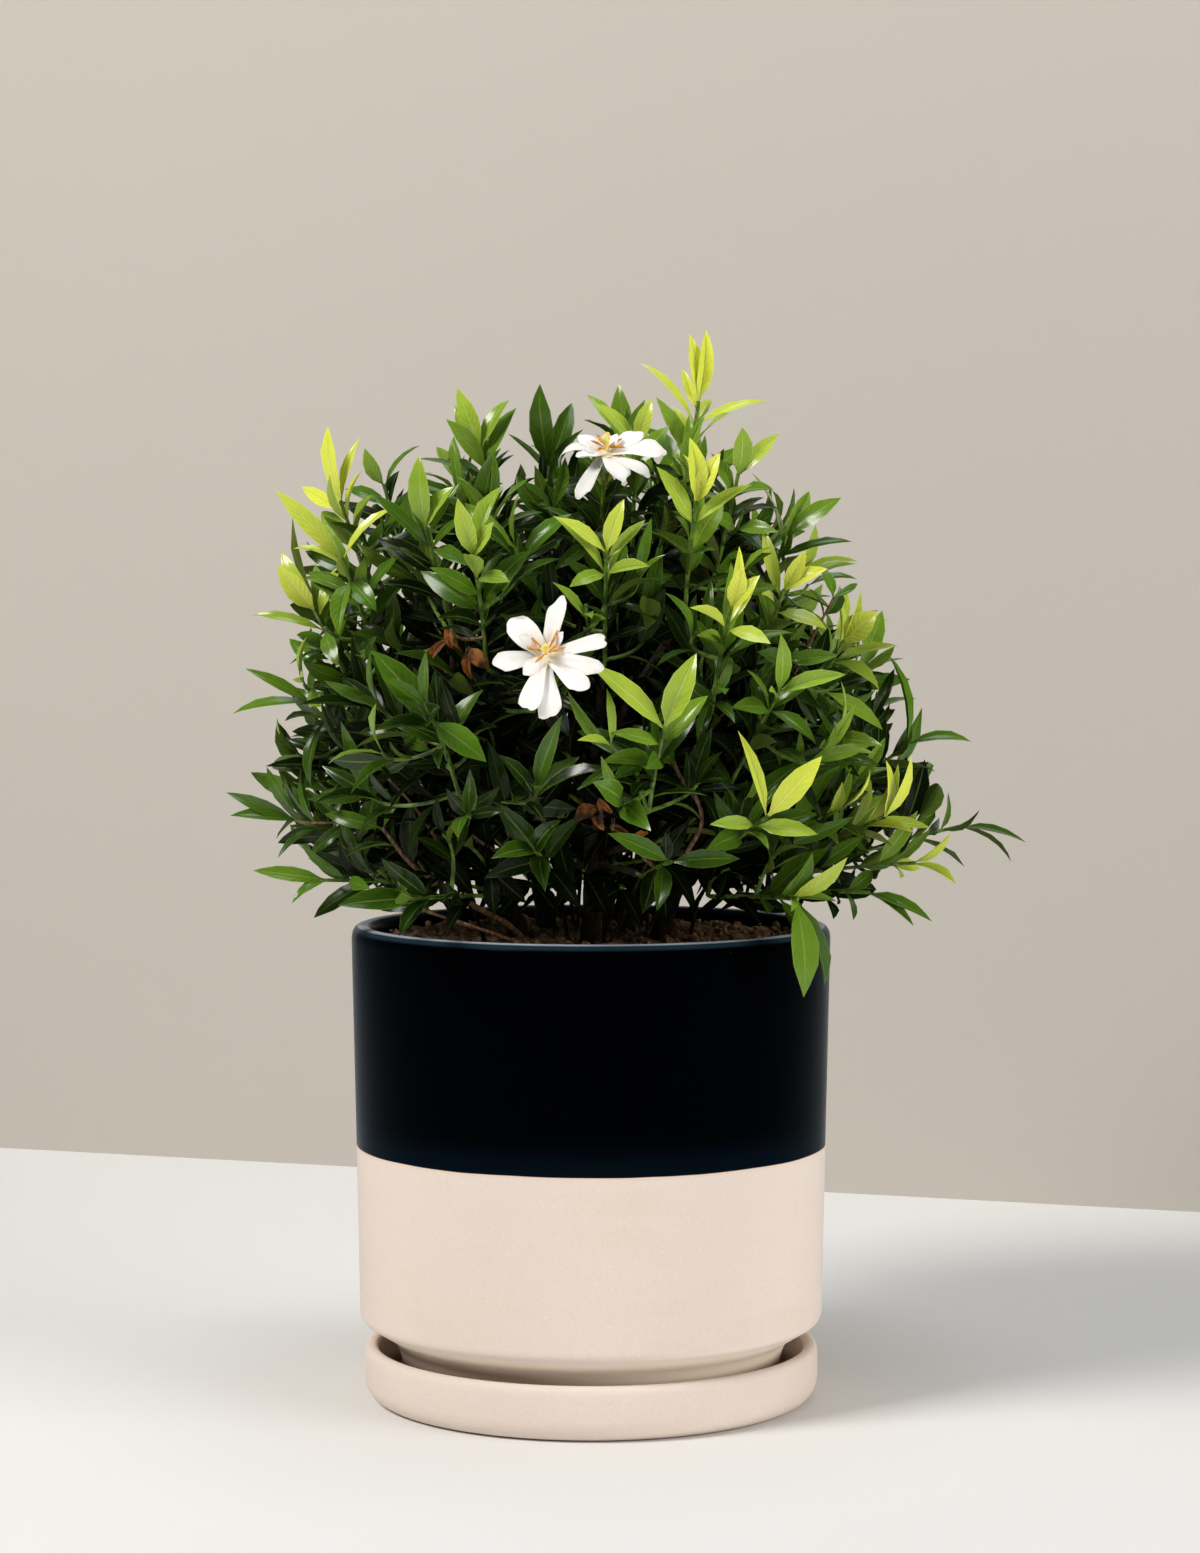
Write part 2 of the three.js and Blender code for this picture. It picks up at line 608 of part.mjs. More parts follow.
// Grows one leaf where it first fits: its chord and width are what it would have with room.
function growLeaf(s, root, d, chord, width, part) {
  const hinge = vec(0, 0, 0).crossVectors(d, chord).normalize();
  const outward = vec(0.6 * root.x, root.y - LIGHT_SHIFT, 0).normalize();
  const light = d.clone().multiplyScalar(0.6).addScaledVector(outward, 0.9).addScaledVector(UP, 0.35);
  for (const [wider, turn, share] of TRIES) {
    const way = chord.clone().applyAxisAngle(hinge, degrees(wider)).applyAxisAngle(d, degrees(turn));
    const leaf = blade(root, way.multiplyScalar(share), light, width * share, LEAF_ARCH);
    const lines = bladeLines(leaf, leafOutline);
    if (clearOfPot(lines) && !tooClose(lines, s.owner, part)) {
      lines.forEach((l) => taken.push({ ...l, owner: s.owner, part }));
      s.grown.push(leaf);
      return;
    }
  }
}

function growListedLeaves(shoots) {
  for (const s of shoots) {
    s.grown = [];
    s.leaves.forEach(([x, y, z, width], i) => {
      const pair = Math.floor(i / 2);
      const [root, d] = backAlong(s.line, NODE_DISTANCES[pair]);
      growLeaf(s, root, d, vec(x, y, z), width, "pair" + pair);
    });
  }
}

// The rest stand in opposite pairs, each a quarter turn on from the last, opening wider lower down.
function growOtherLeaves(shoots) {
  shoots.forEach((s, k) => {
    const first = Math.max(s.leaves.length / 2, s.face ? 1 : 0);
    for (let pair = first; pair < s.pairs; pair++) {
      const [root, d] = backAlong(s.line, NODE_DISTANCES[pair]);
      const [level, rising] = squareTo(d);
      for (const side of [0, 1]) {
        const length = s.size * (1.02 - 0.04 * pair) * (0.86 + 0.28 * draw(k, pair, side));
        const open = degrees(30 + 8 * pair + 12 * (draw(k + 50, pair, side) - 0.5));
        const round = degrees(90 * pair + 180 * side + 24 * draw(k + 90, pair, side) + 50 * draw(k, 7));
        const out = level.clone().multiplyScalar(Math.cos(round));
        out.addScaledVector(rising, Math.sin(round));
        const chord = d.clone().multiplyScalar(length * Math.cos(open));
        chord.addScaledVector(out, length * Math.sin(open));
        growLeaf(s, root, d, chord, length * LEAF_WIDTH, "pair" + pair);
      }
    }
  });
}

// ---------------------------------------------------------------- blooms

// The frame of a bloom: its face, and the directions across and up it.
function bloomFrame({ centre, facing, roll }) {
  const face = vec(...facing).normalize();
  const [across, up] = squareTo(face).map((v) => v.applyAxisAngle(face, degrees(roll)));
  const at = (x, y, out) =>
    vec(...centre).addScaledVector(across, x).addScaledVector(up, y).addScaledVector(face, out);
  const round = (angle) =>
    across.clone().multiplyScalar(Math.cos(angle)).addScaledVector(up, Math.sin(angle));
  return { face, at, round };
}

// A round body about the bloom's axis, through pairs of a distance out along it and a radius.
function bloomRound({ at }, profile, sides) {
  return loft(
    profile.map(([out, radius]) =>
      Array.from({ length: sides }, (_, k) => {
        const a = (2 * Math.PI * k) / sides;
        return at(radius * Math.cos(a), radius * Math.sin(a), out);
      }),
    ),
  );
}

// A blade that stands out from the bloom's axis at an angle round it.
function bloomBlade(frame, degreesRound, rise, inward, out, length, width, arch) {
  const round = frame.round(degrees(degreesRound));
  const root = frame.at(0, 0, out).addScaledVector(round, inward);
  const chord = round.clone().multiplyScalar(length * Math.cos(degrees(rise)));
  chord.addScaledVector(frame.face, length * Math.sin(degrees(rise)));
  return blade(root, chord, frame.face, width, arch);
}

function planBlooms() {
  return BLOOMS.map((plan, i) => {
    const frame = bloomFrame(plan);
    const petals = PETALS.map(([angle, length, width], k) => {
      const rise = PETAL_RISE + 5 * (draw(i, k) - 0.5);
      return bloomBlade(frame, angle, rise, 1.8, -1.6, length, width, PETAL_ARCH);
    });
    for (const petal of petals) {
      bladeLines(petal, petalOutline).forEach((l) => taken.push({ ...l, owner: "bloom" + i }));
    }
    claim([frame.at(0, 0, -TUBE_LENGTH), frame.at(0, 0, 0)], 3, "bloom" + i, "tube");
    return { frame, petals };
  });
}

function blooms(plans) {
  plans.forEach(({ frame, petals }, i) => {
    const name = "bloom_" + (i + 1);
    const blades = petals.map((p) => bladeSolid(p, petalOutline, [0, 0.4, 0.85]));
    addPiece(name + "_petals", geometryFrom(fuse([bloomRound(frame, TUBE, 6), ...blades])), PETAL);
    const arms = [0, 1, 2, 3, 4, 5].map((k) => {
      const arm = bloomBlade(frame, 60 * k + 5, STAMEN_RISE, 1.2, 0.8, 7.5, 1.9, 0.1);
      return bladeSolid(arm, petalOutline, [0, 0.7]);
    });
    const hub = bloomRound(frame, STAMEN_HUB, 6);
    addPiece(name + "_stamens", geometryFrom(fuse([hub, ...arms])), ANTHER);
    addPiece(name + "_pistil", geometryFrom(bloomRound(frame, PISTIL, 6)), STIGMA);
  });
}

// ---------------------------------------------------------------- dried leaves

// A dead side twig on a branch, which still holds three brown leaves that hang.
function driedLeaves(shoots) {
  DRIED_ON.forEach((number, i) => {
    const { woody } = shoots[number];
    const outward = vec(woody[2].x, woody[2].y, 0).normalize();
    const d = along(woody, 2);
    const side = outward.addScaledVector(d, -outward.dot(d)).normalize();
    const start = woody[2].clone().addScaledVector(side, 0.75 * BRANCH_RADII[0] + GAP);
    const twig = [0, 3, 7].map((far) => start.clone().addScaledVector(side, far));
    const s = { owner: "dried" + i, grown: [] };
    for (const turn of [-50, 5, 60]) {
      const chord = side.clone().multiplyScalar(0.6).addScaledVector(UP, -0.8);
      chord.applyAxisAngle(side, degrees(turn)).multiplyScalar(DRY_LEAF_LENGTH);
      growLeaf(s, twig[2].clone().addScaledVector(side, -1), side, chord, 7, "pair");
    }
    const solids = s.grown.map((leaf) => bladeSolid(leaf, leafOutline, LEAF_STATIONS));
    const name = "dried_leaves_" + (i + 1);
    addPiece(name, geometryFrom(fuse([stemSolid(twig, [1, 1], 4), ...solids])), DRY_LEAF);
  });
}

// ---------------------------------------------------------------- putting the plant together

function woodyStems(stems) {
  stems.forEach((m, i) => {
    const parts = [stemSolid(m.line, MAIN_STEM_RADII, 6)];
    for (const s of m.branches) {
      const sunk = s.woody[0].clone().addScaledVector(along(s.woody, 0), -1);
      parts.push(stemSolid([sunk, ...s.woody.slice(1)], BRANCH_RADII, 3));
    }
    addPiece("woody_stem_" + (i + 1), geometryFrom(fuse(parts)), BARK);
  });
}

function leafyStems(shoots) {
  shoots.forEach((s, k) => {
    const leaves = s.grown.map((leaf) => bladeSolid(leaf, leafOutline, LEAF_STATIONS));
    const name = "leafy_stem_" + String(k + 1).padStart(2, "0");
    const green = s.age > 0.65 ? YOUNG_LEAF : MATURE_LEAF;
    addPiece(name, geometryFrom(fuse([stemSolid(s.line, SHOOT_RADII, 3), ...leaves])), green);
  });
}

const stems = mainStems();
const shoots = planShoots(stems);
routeBranches(stems);
const bloomPlans = planBlooms();
growListedLeaves(shoots);
growOtherLeaves(shoots);

saucer();
pot();
soil(stems);
woodyStems(stems);
leafyStems(shoots);
blooms(bloomPlans);
driedLeaves(shoots);

export default model;
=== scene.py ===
# %% [markdown]
# # A potted gardenia
#
# A dwarf gardenia is a dense little shrub: brown stems that fork low down, green shoots at
# their ends, glossy pointed leaves in opposite pairs, and white blooms. This one grows in a
# cylinder pot that is bare clay below and dipped in a dark glaze above, on a clay saucer.
#
# The solids that are loaded first say where everything stands. They have few faces, so each is
# replaced by a finer piece of the same form, and the rest of the foliage is grown on them.

# %% Loading the solids
import math

import bpy
import numpy as np
from mathutils import Matrix, Vector, noise


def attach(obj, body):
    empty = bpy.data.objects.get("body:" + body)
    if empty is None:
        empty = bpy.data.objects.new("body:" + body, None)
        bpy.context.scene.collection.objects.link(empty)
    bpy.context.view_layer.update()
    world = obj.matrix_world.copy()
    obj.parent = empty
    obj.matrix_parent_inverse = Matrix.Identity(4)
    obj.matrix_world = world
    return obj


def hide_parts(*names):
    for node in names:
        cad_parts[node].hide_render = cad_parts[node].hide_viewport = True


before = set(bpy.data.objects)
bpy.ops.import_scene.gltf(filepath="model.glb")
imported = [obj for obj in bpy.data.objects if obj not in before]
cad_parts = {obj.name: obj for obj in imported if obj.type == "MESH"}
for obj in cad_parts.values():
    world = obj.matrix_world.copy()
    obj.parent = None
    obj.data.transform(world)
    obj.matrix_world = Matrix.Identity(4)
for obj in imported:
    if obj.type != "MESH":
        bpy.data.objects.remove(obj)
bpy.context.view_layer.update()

bpy.ops.object.select_all(action="DESELECT")

# %% [markdown]
# ## The camera
#
# A long lens from a metre and a half away keeps the pot's sides almost parallel. The picture's
# perspective gives three numbers: how far away the eye is, how high it is, and how many pixels
# wide a thing of that distance's own width looks. The camera looks level and its frame is
# shifted down, as a product photographer does it, so that upright lines stay upright.

# %% Camera
MM = 0.001
PICTURE = (1200, 1553)
LONG_SIDE, SENSOR = max(PICTURE), 36
EYE_DISTANCE = 1500 * MM
EYE_HEIGHT = 328 * MM
FOCAL_PIXELS = 3584
HORIZON = 609  # pixel row at the height of the eye
AXIS = 591  # pixel column of the pot's axis

bpy.ops.object.camera_add(location=(0, -EYE_DISTANCE, EYE_HEIGHT), rotation=(math.pi / 2, 0, 0))
camera = bpy.context.object
camera.data.sensor_width = SENSOR
camera.data.lens = FOCAL_PIXELS * SENSOR / LONG_SIDE
camera.data.shift_x = (PICTURE[0] / 2 - AXIS) / LONG_SIDE
camera.data.shift_y = (HORIZON - PICTURE[1] / 2) / LONG_SIDE
camera.data.clip_end = 50
bpy.context.scene.camera = camera
bpy.context.scene.view_settings.view_transform = "Standard"
print("lens", round(camera.data.lens, 1), "mm, shifted", round(camera.data.shift_y, 4))

# %% [markdown]
# ## Writing materials as sums
#
# A procedural material is a small piece of maths on each point of a surface. Python can hold
# that maths: a wrapped socket that knows + - * adds the Math node for each sign, so a mask
# reads like an expression. Colours are mixed by a node of their own.


# %% A socket that can be reckoned with
class Wire:
    """An output socket that Python's operators can work on."""

    def __init__(self, finish, socket):
        self.finish, self.socket = finish, socket

    def maths(self, operation, *values):
        return self.finish.node("Math", {"operation": operation}, dict(enumerate(values)))

    def __add__(self, other):
        return self.maths("ADD", self, other)

    __radd__ = __add__

    def __sub__(self, other):
        return self.maths("SUBTRACT", self, other)

    def __rsub__(self, other):
        return self.maths("SUBTRACT", other, self)

    def __mul__(self, other):
        return self.maths("MULTIPLY", self, other)

    __rmul__ = __mul__


    def __abs__(self):
        return self.maths("ABSOLUTE", self)

    def sine(self):
        return self.maths("SINE", self)

    def ease(self, low, high):
        """0 up to low and 1 from high on, smooth in between, or the other way where low is higher."""
        sockets = {"Value": self, "From Min": low, "From Max": high}
        return self.finish.node("MapRange", {"interpolation_type": "SMOOTHSTEP"}, sockets)


# %% A material in the making
class Finish:
    """A material that is being made."""

    def __init__(self, name):
        self.material = bpy.data.materials.new(name)
        self.material.use_nodes = True
        self.tree = self.material.node_tree
        self.tree.nodes.clear()

    def node(self, kind, settings=None, sockets=None, out=0):
        """Adds a node: its settings come first, then the values or wires of its sockets."""
        made = self.tree.nodes.new("ShaderNode" + kind)
        for name, value in (settings or {}).items():
            if name == "stops":
                ramp = made.color_ramp
                while len(ramp.elements) < len(value):
                    ramp.elements.new(1)
                for element, (position, colour) in zip(ramp.elements, value):
                    element.position = position
                    element.color = (*colour, 1)
            else:
                setattr(made, name, value)
        for name, value in (sockets or {}).items():
            if isinstance(value, Wire):
                self.tree.links.new(value.socket, made.inputs[name])
            else:
                made.inputs[name].default_value = value
        return Wire(self, made.outputs[out])

    def place(self):
        return self.node("TexCoord", out="Object")

    def axis(self, vector, name):
        return self.node("SeparateXYZ", sockets={0: vector}, out=name)

    def stretched(self, vector, factors):
        return self.node("VectorMath", {"operation": "MULTIPLY"}, {0: vector, 1: factors})

    def number(self, name):
        """A number that each face or point of a piece carries."""
        return self.node("Attribute", {"attribute_name": name}, out="Fac")

    def across_and_along(self, chart):
        """On a blade's own map: 0 at the midrib to 1 at the margin, and 0 at the root to 1."""
        return abs(self.axis(chart, "X") - 0.5) * 2.0, self.axis(chart, "Y")

    def grain(self, where, scale, detail=2.0, rough=0.5):
        sockets = {"Vector": where, "Scale": scale, "Detail": detail, "Roughness": rough}
        return self.node("TexNoise", sockets=sockets)

    def mix(self, share, a, b):
        a, b = [(*c, 1) if isinstance(c, tuple) else c for c in (a, b)]
        return self.node("Mix", {"data_type": "RGBA"}, {0: share, 6: a, 7: b}, out=2)

    def ramp(self, value, stops):
        return self.node("ValToRGB", {"stops": stops}, {0: value})

    def bump(self, height, distance):
        return self.node("Bump", sockets={"Height": height, "Distance": distance, "Strength": 1.0})

    def surface(self, shader):
        end = self.tree.nodes.new("ShaderNodeOutputMaterial")
        self.tree.links.new(shader.socket, end.inputs["Surface"])
        return self.material

    def done(self, colour, rough, normal, **more):
        """The finished material. More sockets have the same value all over the piece."""
        sockets = {"Base Color": colour, "Roughness": rough, "Normal": normal}
        sockets |= {name.replace("_", " "): value for name, value in more.items()}
        return self.surface(self.node("BsdfPrincipled", sockets=sockets))


# %% [markdown]
# ## Clay
#
# The pot and its saucer are one warm beige clay with a fine dark and light grain and faint
# level bands from the wheel. Low down, where pot and saucer shade each other, the clay of the
# pot's foot and of the saucer's inner wall gets painted light, warmer and lighter, and the gap
# between them gets painted shade, dark brown. Masks on the height and on the distance from the
# pot's axis find these places.

# %% Clay
CLAY, CLAY_DARK, CLAY_LIGHT = (0.77, 0.665, 0.59), (0.7, 0.54, 0.42), (0.95, 0.86, 0.76)
# the next two colours are painted light and painted shade low down on the clay
CLAY_PAINTED_LIGHT, CLAY_PAINTED_SHADE = (0.98, 0.83, 0.67), (0.1, 0.032, 0.008)
WHEEL_BANDS, LEVEL = (9, 9, 130), (1, 1, 0)


def clay(f, where, edge, shade_heights):
    """Colour, roughness and relief of clay, with painted light inside an edge and painted shade low
    down.
    """
    bands = f.grain(f.stretched(where, WHEEL_BANDS), 1.0, 3.0)
    clouds = f.grain(where, 16.0, 3.0, 0.6)
    dots = f.grain(where, 1500.0, 1.0)
    grit = f.grain(where, 420.0, 4.0, 0.7)
    dark = dots.ease(0.66, 0.74) * 0.5 + (clouds * 0.7 + bands * 0.3).ease(0.5, 0.72) * 0.3
    colour = f.mix(dark + grit.ease(0.55, 0.75) * 0.32, CLAY, CLAY_DARK)
    colour = f.mix(dots.ease(0.38, 0.3) * 0.35, colour, CLAY_LIGHT)
    height = f.axis(where, "Z")
    level_place = f.stretched(where, LEVEL)
    radius = f.node("VectorMath", {"operation": "LENGTH"}, {0: level_place}, out="Value")
    # painted light: the foot's cove and the saucer's inner wall are lifted, warmer and lighter, against
    # their shade
    painted_lift = radius.ease(edge * MM, (edge - 2.5) * MM) * height.ease(33 * MM, 28 * MM)
    colour = f.mix(painted_lift * 0.85, colour, CLAY_PAINTED_LIGHT)
    # painted shade: the gap between pot and saucer is painted dark brown
    painted_shade = radius.ease(89.2 * MM, 86.5 * MM) * height.ease(shade_heights[1] * MM, shade_heights[0] * MM)
    colour = f.mix(painted_shade * 0.9, colour, CLAY_PAINTED_SHADE)
    return colour, 0.86 - 0.08 * grit, grit * 0.5 + dots * 0.25 + bands * 0.25


# %% [markdown]
# ## Glaze
#
# The upper part of the pot was dipped, so the dark glaze ends in a level line, with a small
# thick bead at its edge and a warm line on the clay below it. It is almost black. On the rim it
# runs thin, and the navy band and pale top line there are partly thin glaze and partly a painted
# reflection and a painted highlight. Just above the line, a navy painted reflection of the floor
# lies on it. The glaze is a satin one, so it has a low index of refraction and takes its blue
# edges from a little sheen. A mask on the height lays it over the clay in one material, which
# needs no second skin on the pot.

# %% Glaze
GLAZE_LINE, RIM_TOP = 105.3 * MM, 196.5 * MM
GLAZE, GLAZE_PIT, GLAZE_PAINTED_REFLECTION = (0.0002, 0.0003, 0.0006), (0.02, 0.024, 0.03), (0.0014, 0.004, 0.0075)
GLAZE_NAVY_AND_REFLECTION, GLAZE_THIN_AND_HIGHLIGHT, CLAY_WARM = (0.012, 0.027, 0.04), (0.4, 0.43, 0.5), (0.8, 0.5, 0.3)


def glazed(f, where, colour, rough, relief):
    """The same three of clay, with the glaze over them above its line."""
    height = f.axis(where, "Z")
    level = height + (f.grain(where, 26.0, 2.0) - 0.5) * (0.9 * MM)
    mask = level.ease(GLAZE_LINE - 0.15 * MM, GLAZE_LINE + 0.15 * MM)
    bead = level.ease(GLAZE_LINE - 0.3 * MM, GLAZE_LINE + 0.5 * MM)
    warm = level.ease(GLAZE_LINE - 1.5 * MM, GLAZE_LINE - 0.3 * MM)
    pits = f.grain(where, 260.0, 2.0).ease(0.74, 0.8)
    glaze = f.mix(pits * 0.35, GLAZE, GLAZE_PIT)
    # painted reflection: a navy haze of the floor on the glaze just above its line
    glaze = f.mix(level.ease(GLAZE_LINE + 16 * MM, GLAZE_LINE), glaze, GLAZE_PAINTED_REFLECTION)
    # on the rim: a navy band, partly thin glaze and partly painted reflection
    glaze = f.mix(height.ease(RIM_TOP - 2.8 * MM, RIM_TOP - 1.4 * MM), glaze, GLAZE_NAVY_AND_REFLECTION)
    # and the rim's pale top line, partly thin glaze and partly painted highlight
    glaze = f.mix(height.ease(RIM_TOP - 0.7 * MM, RIM_TOP - 0.2 * MM), glaze, GLAZE_THIN_AND_HIGHLIGHT)
    colour = f.mix(mask, f.mix(warm * 0.3, colour, CLAY_WARM), glaze)
    gloss = 0.19 + 0.07 * f.grain(where, 22.0, 3.0)
    ripple = f.grain(where, 30.0, 2.0) * 0.6 + pits * 0.5
    relief = relief * 0.4 * (1 - mask) + (bead * 2.0 + ripple) * mask
    return colour, rough * (1 - mask) + gloss * mask, relief


# %% The pot's and the saucer's finish
CLAY_RELIEF = 0.12 * MM


def pot_finish(edge, shade_heights):
    f = Finish("clay_and_glaze")
    where = f.place()
    colour, rough, relief = glazed(f, where, *clay(f, where, edge, shade_heights))
    gloss = {"IOR": 1.045, "Specular_Tint": (0.42, 0.7, 1.0, 1)}
    sheen = {"Sheen_Weight": 0.24, "Sheen_Roughness": 0.3, "Sheen_Tint": (0.3, 0.5, 0.75, 1)}
    return f.done(colour, rough, f.bump(relief, CLAY_RELIEF), **gloss, **sheen)


def saucer_finish(edge, shade_heights):
    f = Finish("bare_clay")
    colour, rough, relief = clay(f, f.place(), edge, shade_heights)
    return f.done(colour, rough, f.bump(relief, CLAY_RELIEF), IOR=1.4)


# painted light inside this radius, and painted shade below the first and a little up to the second
# height
POT_FINISH = pot_finish(95.5, (16, 22))
SAUCER_FINISH = saucer_finish(88.8, (9, 14))
print("clay and glaze, with", len(POT_FINISH.node_tree.nodes), "nodes")

# %% [markdown]
# ## Soil, bark and green stems
#
# Potting mix is dark brown crumbs of many sizes. Bark is grey-brown with streaks along the
# stem; inside the crown it is painted near black as painted shade. The young shoots are
# yellow-green with a dull skin.


# %% Soil
SOIL_STOPS = [(0.3, (0.014, 0.008, 0.004)), (0.5, (0.2, 0.115, 0.06)), (0.68, (0.52, 0.34, 0.2))]


def soil_finish():
    f = Finish("potting_mix")
    crumbs = f.grain(f.place(), 330.0, 4.0, 0.65)
    clods = f.grain(f.place(), 70.0, 3.0, 0.6)
    colour = f.ramp(crumbs * 0.7 + clods * 0.3, SOIL_STOPS)
    return f.done(colour, 0.95, f.bump(crumbs + clods * 0.6, 1.2 * MM))


SOIL_FINISH = soil_finish()


# %% Bark and green stems
def bark_finish(name, dark, light, patch):
    f = Finish(name)
    where = f.place()
    streaks = f.grain(f.stretched(where, (1, 1, 0.25)), 700.0, 4.0, 0.7)
    colour = f.mix(streaks.ease(0.35, 0.7), dark, light)
    colour = f.mix(f.grain(where, 60.0, 2.0).ease(0.5, 0.7) * 0.5, colour, patch)
    return f.done(colour, 0.85, f.bump(streaks, 0.35 * MM))


def green_stem_finish():
    f = Finish("green_stem")
    marks = f.grain(f.place(), 260.0, 3.0, 0.6)
    colour = f.mix(marks.ease(0.35, 0.65), (0.03, 0.07, 0.006), (0.13, 0.23, 0.02))
    return f.done(colour, 0.5, f.bump(marks, 0.15 * MM))


# painted shade: the bark of the stems and twigs inside the crown is a much darker copy of the brown
# branches' bark
SHADED_BARK_FINISH = bark_finish("bark", (0.006, 0.003, 0.0015), (0.05, 0.026, 0.013), (0.04, 0.03, 0.02))
TWIG_FINISH = bark_finish("twig_bark", (0.05, 0.022, 0.01), (0.27, 0.15, 0.08), (0.2, 0.13, 0.08))
GREEN_STEM_FINISH = green_stem_finish()
print("soil and stems:", [m.name for m in (SOIL_FINISH, SHADED_BARK_FINISH, TWIG_FINISH, GREEN_STEM_FINISH)])

# %% [markdown]
# ## Leaves
#
# A gardenia leaf is leathery and glossy, dark above and paler below, with a pale midrib and
# side veins that are pressed into its face. A fresh one is almost yellow. One material serves
# them all, because each leaf carries four numbers: its age, a share that makes it differ from
# its neighbour, which of its sides a face is on, and how far out in the crown it is. The inner
# ones stand in the shade of the others, so their colour is darkened as painted shade, and they
# have no gloss. A leaf's own map runs across it and along it, which the veins follow.

# %% The colours of leaves, from the oldest to the freshest
LEAF_STOPS = [
    (0.0, (0.002, 0.007, 0.0006)),
    (0.2, (0.013, 0.04, 0.0016)),
    (0.42, (0.08, 0.185, 0.008)),
    (0.62, (0.24, 0.38, 0.028)),
    (0.8, (0.49, 0.59, 0.06)),
    (1.0, (0.72, 0.77, 0.075)),
]
LEAF_SHADE, VEIN_OLD, VEIN_FRESH = (0.0004, 0.0012, 0.0001), (0.3, 0.42, 0.08), (0.85, 0.9, 0.32)
SIDE_VEINS, VEIN_SLANT = 9.0, 1.9


# %% Leaf finish
def leaf_finish():
    f = Finish("leaf")
    where = f.place()
    fresh, differs, under, outer = [f.number(n) for n in ("fresh", "differs", "under", "outer")]
    across, along = f.across_and_along(f.node("UVMap", {"uv_map": "UVMap"}))
    blotch = f.grain(where, 130.0, 3.0, 0.6)
    tone = fresh + (differs - 0.5) * 0.2 + (blotch - 0.5) * 0.12
    # painted shade: the further in a leaf is, the nearer its colour goes to near black, and the fainter
    # its pale veins and margins
    colour = f.mix((1 - outer) * 0.95, f.ramp(tone, LEAF_STOPS), LEAF_SHADE)
    pale = f.mix(0.45, colour, f.mix(fresh.ease(0.35, 0.8), VEIN_OLD, VEIN_FRESH))
    colour = f.mix(under * 0.6, colour, pale)
    rib = across.ease(0.13, 0.03) * along.ease(1.02, 0.75)
    wave = ((along * SIDE_VEINS - across * VEIN_SLANT) * math.tau).sine()
    veins = wave.ease(0.8, 1.0) * across.ease(0.98, 0.7)
    colour = f.mix((rib * 0.7 + veins * 0.08) * (0.25 + 0.75 * outer), colour, pale)
    colour = f.mix(across.ease(0.88, 1.0) * 0.6 * outer, colour, pale)
    skin = f.grain(where, 420.0, 3.0, 0.6)
    relief = (wave * 0.5 + 0.5) * -0.4 * across.ease(0.0, 0.3) - rib * 0.9 + skin * 0.4
    coat = {"Coat_Weight": (1 - under) * outer, "Coat_Roughness": 0.2, "Coat_IOR": 1.4}
    return f.done(colour, 0.55, f.bump(relief, 0.25 * MM), IOR=1.12, **coat)


LEAF_FINISH = leaf_finish()
print("leaf, with", len(LEAF_FINISH.node_tree.nodes), "nodes")

# %% [markdown]
# ## Petals, anthers and dead leaves
#
# Petals are waxy white, a little creamy at their roots. Light goes some way into them, which
# subsurface scattering does. The anthers are orange-brown, the stigma yellow, and the dead
# leaves dry and brown: these, and the calyx, are speckled by one function.


# %% Petal finish
def petal_finish():
    f = Finish("petal")
    chart = f.node("UVMap", {"uv_map": "UVMap"})
    across, along = f.across_and_along(chart)
    lines = f.grain(f.stretched(chart, (34, 3, 1)), 1.0, 3.0)
    clouds = f.grain(f.place(), 190.0, 3.0)
    colour = f.mix(along.ease(0.3, 0.0) * 0.8, (0.94, 0.91, 0.85), (0.9, 0.78, 0.48))
    colour = f.mix(clouds.ease(0.5, 0.75) * 0.35, colour, (0.9, 0.79, 0.68))
    colour = f.mix(lines.ease(0.55, 0.75) * 0.14, colour, (0.86, 0.77, 0.66))
    streak = along.ease(0.42, 0.1) * across.ease(0.4, 0.05) * lines.ease(0.42, 0.6)
    colour = f.mix(streak * 0.5, colour, (0.75, 0.36, 0.07))
    depth = {"Subsurface_Radius": (0.003, 0.0025, 0.002), "Subsurface_Scale": 1.0}
    relief = f.bump(lines + clouds * 0.5, 0.22 * MM)
    return f.done(colour, 0.5, relief, Subsurface_Weight=0.25, **depth)


# %% Speckled finishes
def speckled_finish(name, low, high, scale, rough):
    f = Finish(name)
    spots = f.grain(f.place(), scale, 4.0, 0.65)
    return f.done(f.mix(spots.ease(0.35, 0.68), low, high), rough, f.bump(spots, 0.3 * MM))


PETAL_FINISH = petal_finish()
ANTHER_FINISH = speckled_finish("anther", (0.36, 0.1, 0.006), (0.85, 0.4, 0.03), 900.0, 0.75)
STIGMA_FINISH = speckled_finish("stigma", (0.75, 0.5, 0.05), (0.95, 0.85, 0.28), 700.0, 0.6)
DEAD_FINISH = speckled_finish("dead_leaf", (0.025, 0.008, 0.002), (0.33, 0.11, 0.012), 160.0, 0.8)
CALYX_FINISH = speckled_finish("calyx", (0.12, 0.22, 0.02), (0.3, 0.42, 0.07), 300.0, 0.5)
print("finishes", len(bpy.data.materials))

# %% [markdown]
# ## Turned pieces
#
# Pot and saucer are round, so each is one outline of radius against height, turned once round
# the upright axis. The corners of the outline are short curves, because fired clay has no sharp
# edge. Spin leaves a seam, which is merged before the faces are turned outwards.


# %% Pieces
def pick(piece):
    """Makes one object the selected and the active one."""
    bpy.ops.object.select_all(action="DESELECT")
    piece.select_set(True)
    bpy.context.view_layer.objects.active = piece


def join(piece, *others):
    """Joins other pieces to one, which keeps its name."""
    pick(piece)
    for other in others:
        other.select_set(True)
    bpy.ops.object.join()


